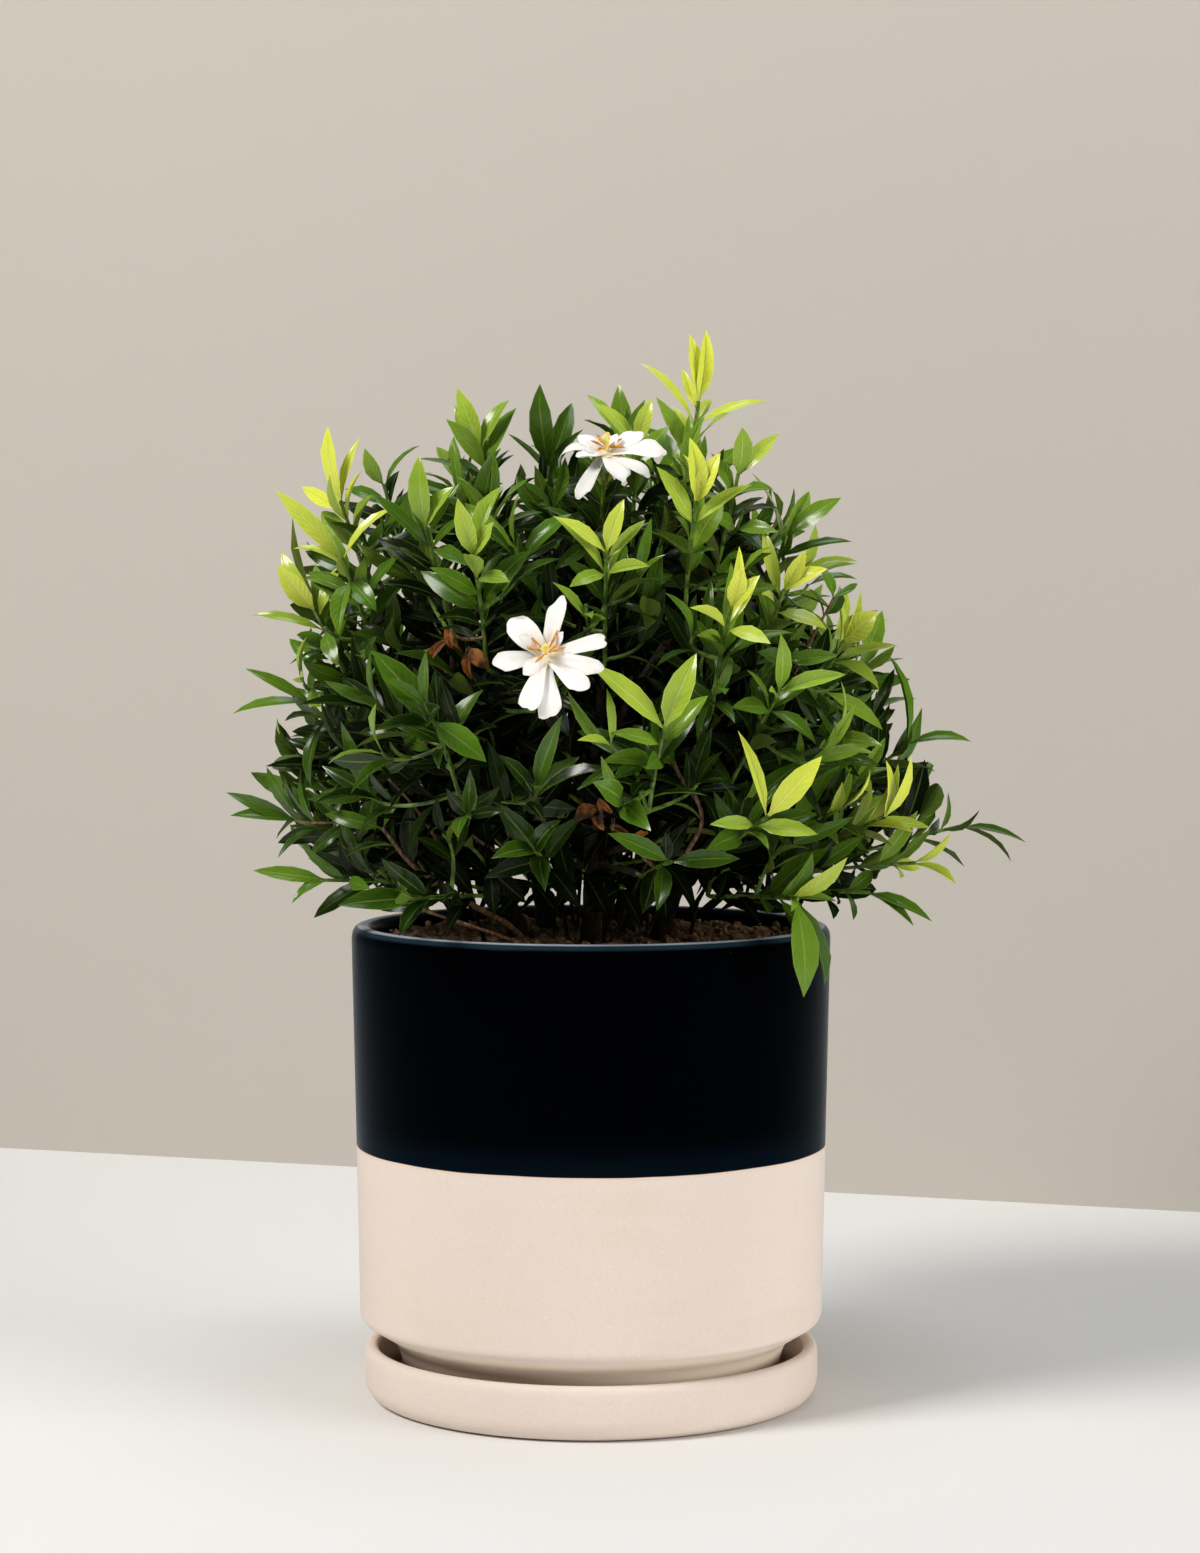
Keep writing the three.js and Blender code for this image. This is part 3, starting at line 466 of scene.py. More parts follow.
def new_piece(name, data):
    piece = bpy.data.objects.new(name, data)
    bpy.context.collection.objects.link(piece)
    pick(piece)
    return piece


def from_points(name, points, edges=(), faces=()):
    mesh = bpy.data.meshes.new(name)
    mesh.from_pydata([tuple(p) for p in points], edges, faces)
    return new_piece(name, mesh)


def paint(piece, finish):
    piece.data.materials.clear()
    piece.data.materials.append(finish)


def hand_in(piece, slot, *nodes):
    """Gives a piece its body and hides the solids that it stands for. The slot is not used."""
    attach(piece, "root")
    if nodes:
        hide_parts(*nodes)
    print(piece.name, len(piece.data.polygons), "faces")


# %% Turning
CURVE_STEPS, SEAM = 7, 0.00001


def curve_points(start, steps):
    """An outline from its start through (end,) lines and (control, end) curves."""
    points = [start]
    for *control, end in steps:
        if not control:
            points.append(end)
            continue
        a, b, c = [np.array(p, float) for p in (points[-1], control[0], end)]
        for t in np.linspace(0, 1, CURVE_STEPS + 1)[1:]:
            points.append(tuple((1 - t) ** 2 * a + 2 * t * (1 - t) * b + t * t * c))
    return points


def outwards(angle, merge=0):
    """Turns the active mesh's faces outwards, and shades it smooth below an angle in degrees."""
    bpy.ops.object.mode_set(mode="EDIT")
    bpy.ops.mesh.select_all(action="SELECT")
    if merge:
        bpy.ops.mesh.remove_doubles(threshold=merge)
    bpy.ops.mesh.normals_make_consistent(inside=False)
    bpy.ops.object.mode_set(mode="OBJECT")
    bpy.ops.object.shade_smooth_by_angle(angle=math.radians(angle))


def turned(name, outline, steps, finish, angle=32):
    """Turns an outline of (radius, height) in millimetres once round the Z axis."""
    points = [(r * MM, 0, z * MM) for r, z in outline]
    piece = from_points(name, points, [(i, i + 1) for i in range(len(points) - 1)])
    bpy.ops.object.mode_set(mode="EDIT")
    bpy.ops.mesh.select_all(action="SELECT")
    bpy.ops.mesh.spin(steps=steps, angle=2 * math.pi, center=(0, 0, 0), axis=(0, 0, 1))
    bpy.ops.object.mode_set(mode="OBJECT")
    outwards(angle, merge=SEAM)
    paint(piece, finish)
    return piece


# %% [markdown]
# ## The saucer
#
# A low dish with a flat floor, a wall as thick as the floor, and a rounded lip. The outline goes
# up its outside, over the lip and down its inside, so the wall needs no modifier.

# %% Saucer
GAP = 0.3  # between any two solids
SAUCER_RADIUS, SAUCER_HEIGHT, SAUCER_WALL, SAUCER_FLOOR = 94.5, 22.5, 6, 6
saucer_inner = SAUCER_RADIUS - SAUCER_WALL
outline = curve_points(
    (0, 0),
    [
        ((SAUCER_RADIUS - 9, 0),),
        ((SAUCER_RADIUS - 1, 0), (SAUCER_RADIUS, 9)),
        ((SAUCER_RADIUS, SAUCER_HEIGHT - 4),),
        ((SAUCER_RADIUS, SAUCER_HEIGHT), (SAUCER_RADIUS - 3, SAUCER_HEIGHT)),
        ((saucer_inner, SAUCER_HEIGHT), (saucer_inner, SAUCER_HEIGHT - 4)),
        ((saucer_inner - 1, SAUCER_FLOOR + 4),),
        ((saucer_inner - 2, SAUCER_FLOOR), (saucer_inner - 7, SAUCER_FLOOR)),
        ((0, SAUCER_FLOOR),),
    ],
)
hand_in(turned("saucer_clay", outline, 144, SAUCER_FINISH), "saucer_clay", "saucer")

# %% [markdown]
# ## The pot
#
# A cylinder that widens a little upwards. Its lower corner is rounded in to a foot ring, which
# stands in the saucer, and its base has a drain hole. The outline starts under the base at the
# hole, goes round the foot, up the wall, over the rim and down the inside, back to the hole.

# %% Pot
POT_RADIUS, POT_BASE_RADIUS, POT_TOP, POT_WALL, POT_FLOOR = 100, 96.3, 196.5, 9, 9.5
FOOT_RADIUS, FOOT_WIDTH, FOOT_RECESS, DRAIN_RADIUS = 74, 9, 3.7, 6
POT_FOOT = SAUCER_FLOOR + GAP
POT_INSIDE = POT_FOOT + FOOT_RECESS + POT_FLOOR
POT_INNER = POT_RADIUS - POT_WALL
recess = POT_FOOT + FOOT_RECESS
outline = curve_points(
    (DRAIN_RADIUS, recess),
    [
        ((FOOT_RADIUS - FOOT_WIDTH - 1, recess),),
        ((FOOT_RADIUS - FOOT_WIDTH, POT_FOOT),),
        ((FOOT_RADIUS, POT_FOOT),),
        ((FOOT_RADIUS + 4.6, 12),),
        ((FOOT_RADIUS + 5.4, 22.4), (FOOT_RADIUS + 10, 26)),
        ((POT_BASE_RADIUS - 2, 32.2),),
        ((POT_BASE_RADIUS, 33.4), (POT_BASE_RADIUS, 36.5)),
        ((POT_RADIUS - 2, 110),),
        ((POT_RADIUS, POT_TOP - 6),),
        ((POT_RADIUS, POT_TOP), (POT_RADIUS - POT_WALL / 2, POT_TOP)),
        ((POT_INNER, POT_TOP), (POT_INNER, POT_TOP - 6)),
        ((POT_INNER - 3, 50),),
        ((POT_INNER - 5, POT_INSIDE), (62, POT_INSIDE)),
        ((DRAIN_RADIUS, POT_INSIDE),),
        ((DRAIN_RADIUS, recess),),
    ],
)
hand_in(turned("pot_clay_and_glaze", outline, 160, POT_FINISH), "pot_ceramic", "pot")

# %% [markdown]
# ## Soil
#
# The mix fills the pot to six millimetres under the rim. Its top is the part that shows, so the
# turned body gets rings there, and noise of three sizes moves them up and down into clods and
# crumbs.

# %% Soil
SOIL_TOP = 190.5
rings = [(r, SOIL_TOP) for r in np.linspace(POT_INNER - 4, 1.2, 58)]
outline = [
    (0, POT_INSIDE + GAP),
    (60, POT_INSIDE + GAP),
    (POT_INNER - 12, POT_INSIDE + 8),
    (POT_INNER - 4, 54),
    (POT_INNER - 0.9, SOIL_TOP - 3),
    *rings,
    (0, SOIL_TOP),
]
soil = turned("potting_mix", outline, 180, SOIL_FINISH, angle=60)
for v in soil.data.vertices:
    if v.co.z > (SOIL_TOP - 0.1) * MM:
        x, y = v.co.x / MM, v.co.y / MM
        lumps = math.sin(x * 0.31 + 1) * math.cos(y * 0.27) + math.sin(x * 0.13 - y * 0.19)
        clods = noise.noise((x * 0.16, y * 0.16, 3)) * 2.0 + noise.noise((x * 0.5, y * 0.5, 7))
        v.co.z += (0.8 * lumps + clods) * MM
print("soil", len(soil.data.vertices), "points")

# %% [markdown]
# ## Loose crumbs
#
# Crumbs of many sizes lie on the soil. One small round lump is the form of all of them, and
# each copy is turned, stretched and laid by chance. Chance has to be the same in each run, so
# it comes from a function of whole numbers. Everything that grows later draws from it too.

# %% The form of a crumb, and chance
bpy.ops.object.select_all(action="DESELECT")
bpy.ops.mesh.primitive_ico_sphere_add(subdivisions=1, radius=1.0)
crumb = bpy.context.object
form = np.array([v.co for v in crumb.data.vertices])
faces = [tuple(p.vertices) for p in crumb.data.polygons]
bpy.data.objects.remove(crumb)


def draw(a, b=0, c=0):
    """A repeatable draw between 0 and 1 from up to three whole numbers."""
    s = math.sin(a * 12.9898 + b * 78.233 + c * 37.719 + 1.7) * 43758.5453
    return s - math.floor(s)


print("a crumb has", len(faces), "faces, and the first draws are", [round(draw(i), 2) for i in range(4)])

# %% Crumbs
CRUMBS = 900
points, polygons = [], []
for i in range(CRUMBS):
    r = (POT_INNER - 3) * math.sqrt(draw(i, 11))
    a = 2 * math.pi * draw(i, 12)
    size = 0.7 + 2.2 * draw(i, 13) ** 3
    turn = Matrix.Rotation(6.3 * draw(i, 14), 3, Vector((draw(i, 15), draw(i, 16), 1)).normalized())
    shape = form * [size * (0.8 + 0.7 * draw(i, 17)), size, size * 0.7]
    shape = shape @ np.array(turn) + [r * math.cos(a), r * math.sin(a), SOIL_TOP + 0.2 * size + 0.7]
    polygons += [[v + len(points) for v in p] for p in faces]
    points += list(shape * MM)
crumbs = from_points("crumbs", points, (), polygons)
paint(crumbs, SOIL_FINISH)
join(soil, crumbs)
hand_in(soil, "potting_mix", "soil")

# %% [markdown]
# ## The plan of the shrub
#
# Six woody stems fan out of the soil. Each carries branches, and each branch ends in a green
# shoot. The shoots that show most are listed by where they end and how their top leaves reach;
# the rest follow a rule. The same plan gave the solids, so the fine pieces stand where they do.

# %% The shoots that show most: end, age from 0 (dark) to 1 (fresh), top leaves as x, y, z, width
FRONT_SHOOTS = [
    ([45, 0, 415], 1, [[-4, -2, 29, 9], [3, 1, 31, 9], [-22, -3, 27, 5], [32, 6, 12, 5]]),
    ([42, -76, 371], 0.9, [[-2, -6, 26, 10], [9, -6, 20, 9], [-15, -6, 23, 8], [23, -2, 17, 7]]),
    ([-46, -8, 396], 0.6, [[-10, -3, 25, 8], [11, 2, 21, 8]]),
    ([-104, -12, 373], 1, [[-5, -3, 32, 9], [8, 0, 27, 6], [-7, -9, 20, 7], [2, -10, 24, 6]]),
    ([-101, -48, 349], 0.8, [[-27, -4, 28, 8], [21, -4, 23, 6], [-4, -13, -22, 10], [11, -12, -12, 9]]),
    ([-113, -38, 328], 0.8, [[-15, -6, 19, 10], [-15, 3, 25, 7], [-30, 0, 8, 5], [6, -14, -14, 7]]),
    ([-66, -72, 361], 0.5, [[-3, -6, 29, 10], [11, -7, 17, 9], [-24, 0, 23, 7], [16, -12, -6, 8]]),
    ([-88, 22, 381], 0.4, [[14, 0, 19, 6], [-9, -2, 16, 7], [1, 6, 17, 8], [-20, 6, 9, 7]]),
    ([-46, -102, 349], 0.7, [[-6, -7, 23, 9], [8, -6, 14, 8], [-7, -12, 14, 9], [13, -13, -1, 8]]),
    ([6, -97, 351], 0.8, [[-19, -7, 14, 7], [7, -3, 21, 8], [-14, -12, -4, 7], [17, -10, 3, 8]]),
    ([-64, -122, 292], 0.3, [[1, -9, 21, 5], [-16, -9, 11, 5], [-23, -6, 28, 12], [21, -9, -15, 11]]),
    ([-117, -14, 290], 0.4, [[-27, -3, 14, 6], [-33, 0, -3, 6], [-16, -10, 4, 8], [-7, -6, -28, 8]]),
    ([-122, -24, 241], 0.3, [[-29, -3, 12, 7], [-27, -7, 3, 7], [-14, -6, 21, 5], [-16, -8, -12, 6]]),
    ([-108, -46, 218], 0.5, [[-30, -2, 4, 7], [-14, -8, -8, 6], [-19, -4, 15, 5], [10, -17, -2, 6]]),
    ([19, -20, 396], 0.7, [[-17, -3, 19, 8], [6, -4, 20, 8], [14, 6, 18, 8], [-10, 6, 20, 7]]),
    ([61, -16, 384], 0.6, [[2, -5, 20, 10], [17, 3, 18, 7], [-9, 3, 19, 8], [16, -12, 3, 10]]),
    ([81, -12, 359], 0.5, [[23, -4, 16, 9], [10, 4, 19, 9], [30, -3, 8, 6], [4, -13, 14, 8]]),
    ([78, -52, 336], 0.9, [[9, -6, 17, 7], [17, -7, 10, 8], [20, -8, -6, 8], [-6, -16, 8, 7]]),
    ([55, -101, 329], 0.9, [[4, -7, 17, 8], [11, -7, 13, 7], [-14, -11, 9, 8], [17, -10, -6, 8]]),
    ([104, -24, 315], 0.8, [[7, -4, 21, 6], [14, -7, 13, 12], [27, -3, 7, 6], [20, -6, -10, 9]]),
    ([28, -137, 283], 0.7, [[12, -6, 29, 12], [-29, -5, 25, 10], [-19, -10, 5, 7], [18, -3, 19, 10]]),
    ([68, -121, 248], 0.8, [[21, -7, 24, 10], [-11, -6, 34, 6], [-18, -10, 1, 7], [24, -5, -3, 8]]),
    ([74, -96, 296], 0.6, [[26, -6, 7, 9], [1, -9, 23, 8], [18, -10, -12, 8], [-15, -14, 2, 8]]),
    ([133, 0, 272], 0.3, [[-7, -3, 38, 9], [27, -3, 3, 7], [8, -6, 9, 5], [10, 7, 15, 7]]),
    ([120, -42, 243], 1, [[11, -5, 26, 8], [2, -7, 24, 7], [19, -4, 22, 8], [20, -8, 2, 7]]),
    ([158, 22, 236], 0.1, [[28, 2, -7, 7], [22, -7, -13, 6], [17, -5, 8, 6], [4, 12, 16, 6]]),
    ([133, -32, 224], 0.9, [[15, -5, 13, 6], [17, -6, -8, 7], [3, -16, -4, 6], [13, 9, -2, 6]]),
    ([113, -46, 213], 0.4, [[26, -6, -11, 7], [18, -10, -13, 6], [2, -16, -10, 6], [12, 10, 8, 7]]),
    ([82, -80, 213], 0.7, [[3, -9, -38, 13], [14, 8, -36, 9]]),
    ([31, -112, 230], 0.2, [[-24, -7, 12, 8], [27, -4, 2, 8], [-3, -12, -17, 9], [3, -15, 10, 7]]),
]

# %% The other shoots (x, y, z, leaf length, age), and the blooms
OTHER_SHOOTS = [
    (-70, -92, 214, 28, 0.2),
    (-22, -108, 234, 29, 0.1),
    (26, 58, 380, 31, 0.5),
    (-44, 72, 360, 32, 0.4),
    (80, 88, 318, 32, 0.4),
    (-98, 78, 308, 32, 0.2),
    (10, 122, 322, 32, 0.3),
    (118, 84, 256, 32, 0.3),
    (-66, 124, 264, 32, 0.1),
    (38, 136, 254, 32, 0.2),
    (-122, 56, 246, 31, 0.1),
    (-4, 112, 222, 30, 0.1),
]
BLOOMS = [
    ((-17, -146, 311), (0, -0.92, 0.4), 0),
    ((6, -48, 392), (0.05, -0.5, 0.86), -20),
]

# %% Sizes of the plant, in millimetres
UP = np.array([0.0, 0.0, 1.0])
CROWN_CENTRE = UP * 215
MAIN_STEM_COUNT, MAIN_STEM_ROOT, MAIN_STEM_SPREAD = 5, 20, 58
MAIN_STEM_TOPS, MIDDLE_STEM_TOP, MIDDLE_RADIUS = (246, 258), 292, 34
MAIN_STEM_RADII, BRANCH_RADII, SHOOT_RADII = (4.2, 2.3), (1.8, 1.4), (1.5, 1.25)
STEM_DEPTH = 22
SHOOT_SHARE, SHOOT_LENGTH = 0.42, 50
LEVEL_BELOW, UPRIGHT_ABOVE, MOST_UPRIGHT = 225, 345, 0.6
FRONT_LEAF_LENGTH, BLOOM_LEAF_LENGTH, LEAF_WIDTH = 30, 26, 0.32
LEAF_ARCH, LIGHT_SHIFT = 0.6, 70
NODE_DISTANCES = [1, 10, 22, 36]  # of the pairs of leaves, back from the tip
CLEAR_BLADE, CLEAR_STEM = 1.15, 0.7
TUBE_LENGTH = 15
print(len(FRONT_SHOOTS), "listed shoots,", len(OTHER_SHOOTS), "others and", len(BLOOMS), "blooms")

# %% [markdown]
# ## Directions and routes
#
# A stem is planned as a row of points on a curve, and a leaf as a place with directions. A few
# helpers on vectors do all of this: a turn about an axis, a curve from one point towards a
# second that ends in a third, and two directions square to a given one.


# %% Vectors
def vec(*p):
    return np.array(p, float)


def unit(v):
    return v / np.linalg.norm(v)


def turn_about(v, axis, angle):
    c, s = math.cos(angle), math.sin(angle)
    return v * c + np.cross(axis, v) * s + axis * (axis @ v) * (1 - c)


def route(a, b, c, steps):
    """Points of the curve from a to c that leaves a towards b."""
    ts = [i / steps for i in range(steps + 1)]
    return [(1 - t) ** 2 * a + 2 * (1 - t) * t * b + t * t * c for t in ts]


def along(points, i):
    return unit(points[min(i + 1, len(points) - 1)] - points[max(i - 1, 0)])


def square_to(d):
    """Two directions square to d, the first as level as it can be."""
    level = vec(1, 0, 0) if abs(d[2]) > 0.999 else unit(np.cross(UP, d))
    return level, np.cross(d, level)


# %% [markdown]
# ## Room for everything
#
# Nothing in a plant passes through anything else. So whatever grows is noted as lines with the
# room that they need, and what grows next keeps clear of them. The leaf at one node may touch
# its own twin and its own stem, which the names of owner and part allow for. All distances are
# worked out at once in arrays, because there are tens of thousands of lines in the end.

# %% Room that is taken
MOST_LINES = 90000


class Room:
    """The lines that pieces already take up, and how much room each needs."""

    def __init__(self):
        self.count = 0
        self.ends = np.zeros((2, MOST_LINES, 3))
        self.middle = np.zeros((MOST_LINES, 3))
        self.reach = np.zeros(MOST_LINES)
        self.room = np.zeros(MOST_LINES)
        self.owner = np.zeros(MOST_LINES, int)
        self.part = np.zeros(MOST_LINES, int)
        self.names = {}

    def number(self, name):
        return self.names.setdefault(name, len(self.names))

    def take(self, a, b, room, owner, part):
        new = slice(self.count, self.count + len(a))
        self.ends[0, new], self.ends[1, new] = a, b
        self.middle[new] = (a + b) / 2
        self.reach[new] = np.linalg.norm(a - b, axis=1) / 2 + room
        self.room[new] = room
        self.owner[new], self.part[new] = self.number(owner), self.number(part)
        self.count += len(a)

    def too_close(self, a, b, room, owner, part):
        n = slice(self.count)
        middle = (a[0] + b[-1]) / 2
        far = max(np.linalg.norm(a - middle, axis=1).max(), np.linalg.norm(b - middle, axis=1).max())
        near = np.linalg.norm(self.middle[n] - middle, axis=1) < far + room + self.reach[n]
        same = self.owner[n] == self.number(owner)
        mine = (self.part[n] == self.number(part)) | (self.part[n] == self.number("stem"))
        keep = near & ~(same & mine)
        if not keep.any():
            return False
        p, q = self.ends[0, n][keep][None], self.ends[1, n][keep][None]
        gaps = line_gaps(a[:, None], b[:, None], p, q)
        return bool((gaps < room + self.room[n][keep][None]).any())


def line_gaps(p, q, r, s):
    """The distances between the lines p-q and r-s."""
    d1, d2, w = q - p, s - r, p - r

    def dot(u, v):
        return (u * v).sum(-1)

    a, e = np.maximum(dot(d1, d1), 1e-9), np.maximum(dot(d2, d2), 1e-9)
    b, c, f = dot(d1, d2), dot(d1, w), dot(d2, w)
    below = a * e - b * b
    t1 = np.where(below > 1e-9, np.clip((b * f - c * e) / np.maximum(below, 1e-9), 0, 1), 0)
    t2 = (b * t1 + f) / e
    outside = (t2 < 0) | (t2 > 1)
    t2 = np.clip(t2, 0, 1)
    t1 = np.where(outside, np.clip((b * t2 - c) / a, 0, 1), t1)
    return np.linalg.norm(w + d1 * t1[..., None] - d2 * t2[..., None], axis=-1)


room = Room()


def claim(points, size, owner, part):
    points = np.array(points)
    room.take(points[:-1], points[1:], size, owner, part)


# %% [markdown]
# ## Stems, shoots and branches
#
# One woody stem stands in the middle, and five lean out round it. A shoot is worked out from its
# tip back: it points outwards, and the more upright the higher it is. Then each shoot's branch
# starts at a step of the stem that stands nearest, low shoots from low steps, and bends its knee
# another way where the straight way is taken.


# %% Main stems
def main_stems():
    stems = [{"root": vec(3, 4, 0), "top": vec(8, 6, MIDDLE_STEM_TOP)}]
    for i in range(MAIN_STEM_COUNT):
        a = math.radians(198 + 360 / MAIN_STEM_COUNT * i)
        way = vec(math.cos(a), math.sin(a), 0)
        low, high = MAIN_STEM_TOPS
        top = way * MAIN_STEM_SPREAD + UP * (low + (high - low) * draw(i, 2))
        stems.append({"root": way * (MAIN_STEM_ROOT + 5 * draw(i, 1)), "top": top})
    for i, m in enumerate(stems):
        m["root"][2] = SOIL_TOP - STEM_DEPTH
        lean = m["root"] + (m["top"] - m["root"]) * 0.35
        lean[2] = SOIL_TOP + 24
        m["line"] = route(m["root"], lean, m["top"], 5)
        m["branches"] = []
        claim(m["line"], MAIN_STEM_RADII[0] + CLEAR_STEM, f"woody{i}", "stem")
    return stems


# %% Shoots
def plan_shoots(stems):
    shoots = [
        {"tip": vec(*end), "size": FRONT_LEAF_LENGTH, "age": age, "leaves": leaves, "pairs": 3}
        for end, age, leaves in FRONT_SHOOTS
    ]
    shoots += [
        {"tip": vec(x, y, z), "size": size, "age": age, "leaves": [], "pairs": 4}
        for x, y, z, size, age in OTHER_SHOOTS
    ]
    for centre, facing, _ in BLOOMS:
        face = unit(vec(*facing))
        tip = vec(*centre) - face * (TUBE_LENGTH + GAP)
        shoots.append(
            {"tip": tip, "size": BLOOM_LEAF_LENGTH, "age": 0.3, "leaves": [], "pairs": 4, "face": face}
        )
    for s in shoots:
        out = s["tip"] - CROWN_CENTRE
        s["length"] = min(SHOOT_SHARE * np.linalg.norm(out), SHOOT_LENGTH)
        height = (s["tip"][2] - LEVEL_BELOW) / (UPRIGHT_ABOVE - LEVEL_BELOW)
        upright = min(max(height, 0), 1) * MOST_UPRIGHT
        s["way"] = s.get("face", unit(unit(out) * 0.75 + UP * upright))
        s["base"] = s["tip"] - s["way"] * s["length"]
        level = s["base"] * [1, 1, 0]
        beside = [unit(level) @ unit(m["top"] * [1, 1, 0]) for m in stems[1:]]
        nearest = stems[1 + int(np.argmax(beside))]
        middle = np.linalg.norm(level) < MIDDLE_RADIUS and s["base"][2] > MIDDLE_STEM_TOP - 7
        s["stem"] = stems[0] if middle else nearest
        s["stem"]["branches"].append(s)
    return shoots


# %% Branches
KNEES = [(0, 0), (8, 0), (-8, 0), (0, 8), (0, -8), (16, 0), (-16, 0), (14, 12), (-14, 12)]


def route_branches(stems):
    for number, m in enumerate(stems):
        m["branches"].sort(key=lambda s: s["base"][2])
        for rank, s in enumerate(m["branches"]):
            share = 0.5 + 0.5 * (rank + 1) / len(m["branches"])
            step = min(math.floor(share * 5 + 0.5), 5)
            fork = m["line"][step]
            far = np.linalg.norm(s["base"] - fork)
            sideways, rise = square_to(unit(s["base"] - fork))
            s["owner"], s["wood"] = f"shoot{number}_{rank}", f"woody{number}"
            for aside, up in KNEES:
                knee = fork + along(m["line"], step) * far * 0.35 + sideways * aside + rise * up
                s["woody"] = route(fork, knee, s["base"], 3)
                leaving = along(s["woody"], 3)
                start = s["base"] + leaving * GAP
                middle = s["tip"] - s["way"] * 0.45 * s["length"]
                s["line"] = [start, *route(start + leaving * 4, middle, s["tip"], 4)]
                a = np.array(s["woody"][:-1] + s["line"][:-1])
                b = np.array(s["woody"][1:] + s["line"][1:])
                if not room.too_close(a, b, BRANCH_RADII[0] + CLEAR_STEM, f"woody{number}", "stem"):
                    break
            claim(s["woody"], BRANCH_RADII[0] + CLEAR_STEM, f"woody{number}", "stem")
            claim(s["line"], SHOOT_RADII[0] + CLEAR_STEM, s["owner"], "stem")


# %% [markdown]
# ## Blades
#
# Leaves, petals and sepals are all blades: a root, a direction, a face that looks to the light,
# a length, a half width and an arch. Lines across a blade stand for it in the room that is
# taken. A leaf that finds its place taken tries the next of a list of turns, a little shorter
# each time, before it is given up.


# %% Blades
def leaf_outline(t):
    return np.maximum(np.sin(np.pi * np.power(t, 0.9)), 0) ** 0.9


def petal_outline(t):
    return np.minimum(np.minimum(0.3 + 1.05 * t, np.sqrt(np.maximum(1 - t, 0) * 6)), 1)


def blade(root, chord, light, width, arch):
    """A blade whose chord runs from its root to its tip, and which turns its face to the light."""
    length = np.linalg.norm(chord)
    d = chord / length
    bright = unit(light - d * (light @ d))
    c, s = math.cos(arch / 2), math.sin(arch / 2)
    return {
        "root": root,
        "way": d * c + bright * s,
        "face": bright * c - d * s,
        "length": length * arch / 2 / s,
        "half": width / 2,
        "arch": arch,
    }


def blade_lines(leaf, outline):
    """Lines across a blade, close enough together that nothing passes between them."""
    t = (np.arange(11) + 2) / 12
    half = np.where(t < 1, outline(np.minimum(t, 1)), 0) * leaf["half"]
    turn = leaf["arch"] * t
    ahead = leaf["length"] * t * np.sin(turn) / turn
    back = leaf["length"] * t * (1 - np.cos(turn)) / turn
    side = np.cross(leaf["way"], leaf["face"])
    middle = leaf["root"] + ahead[:, None] * leaf["way"] - back[:, None] * leaf["face"]
    return middle - half[:, None] * side, middle + half[:, None] * side


# %% Where a leaf may be
def clear_of_pot(a, b):
    """Whether lines stay above the soil and the rim, or outside the pot."""
    p = np.concatenate([a, b])
    r = np.hypot(p[:, 0], p[:, 1])
    lowest = np.where(r > POT_RADIUS + 2, -1e9, np.where(r < POT_INNER - 3, SOIL_TOP + 4, POT_TOP + 2))
    return bool((p[:, 2] > lowest).all())


def back_along(line, distance):
    """The point and direction of a line a given distance back from its end."""
    left = distance
    for i in range(len(line) - 1, 0, -1):
        span = np.linalg.norm(line[i] - line[i - 1])
        if left <= span or i == 1:
            at = line[i] + (line[i - 1] - line[i]) * min(left / span, 0.95)
            return at, unit(line[i] - line[i - 1])
        left -= span


# %% Growing a leaf: how much wider it opens, how far it turns, and its share of the length
TRIES = [
    (0, 0, 1), (10, 0, 1), (-10, 0, 1), (0, 18, 1), (0, -18, 1), (12, 28, 0.95), (12, -28, 0.95),
    (-14, 24, 0.9), (-14, -24, 0.9), (24, 0, 0.85), (0, 45, 0.8), (0, -45, 0.8), (-8, 0, 0.66),
]  # fmt: skip


def facing_light(root, d):
    outward = unit(vec(0.6 * root[0], root[1] - LIGHT_SHIFT, 0))
    return d * 0.6 + outward * 0.9 + UP * 0.35


def tried(root, d, chord, light, width, tries):
    """One leaf after another, each turned and shortened as the next of the tries says."""
    hinge = unit(np.cross(d, chord))
    for wider, turn, share in tries:
        way = turn_about(turn_about(chord, hinge, math.radians(wider)), d, math.radians(turn))
        leaf = blade(root, way * share, light, width * share, LEAF_ARCH)
        yield leaf, *blade_lines(leaf, leaf_outline)


def grow_leaf(s, root, d, chord, width, part):
    """Grows one leaf where it first fits, or none."""
    for leaf, a, b in tried(root, d, chord, facing_light(root, d), width, TRIES):
        if clear_of_pot(a, b) and not room.too_close(a, b, CLEAR_BLADE, s["owner"], part):
            room.take(a, b, CLEAR_BLADE, s["owner"], part)
            s["grown"].append(leaf)
            return


# %% Leaves of the plan
def grow_listed_leaves(shoots):
    for s in shoots:
        s["grown"] = []
        for i, (x, y, z, width) in enumerate(s["leaves"]):
            root, d = back_along(s["line"], NODE_DISTANCES[i // 2])
            grow_leaf(s, root, d, vec(x, y, z), width, f"pair{i // 2}")


def grow_other_leaves(shoots):
    for k, s in enumerate(shoots):
        first = max(len(s["leaves"]) // 2, 1 if "face" in s else 0)
        for pair in range(first, s["pairs"]):
            root, d = back_along(s["line"], NODE_DISTANCES[pair])
            level, rising = square_to(d)
            for side in (0, 1):
                length = s["size"] * (1.02 - 0.04 * pair) * (0.86 + 0.28 * draw(k, pair, side))
                wide = math.radians(30 + 8 * pair + 12 * (draw(k + 50, pair, side) - 0.5))
                spun = 90 * pair + 180 * side + 24 * draw(k + 90, pair, side) + 50 * draw(k, 7)
                spun = math.radians(spun)
                out = level * math.cos(spun) + rising * math.sin(spun)
                chord = d * length * math.cos(wide) + out * length * math.sin(wide)
                grow_leaf(s, root, d, chord, length * LEAF_WIDTH, f"pair{pair}")


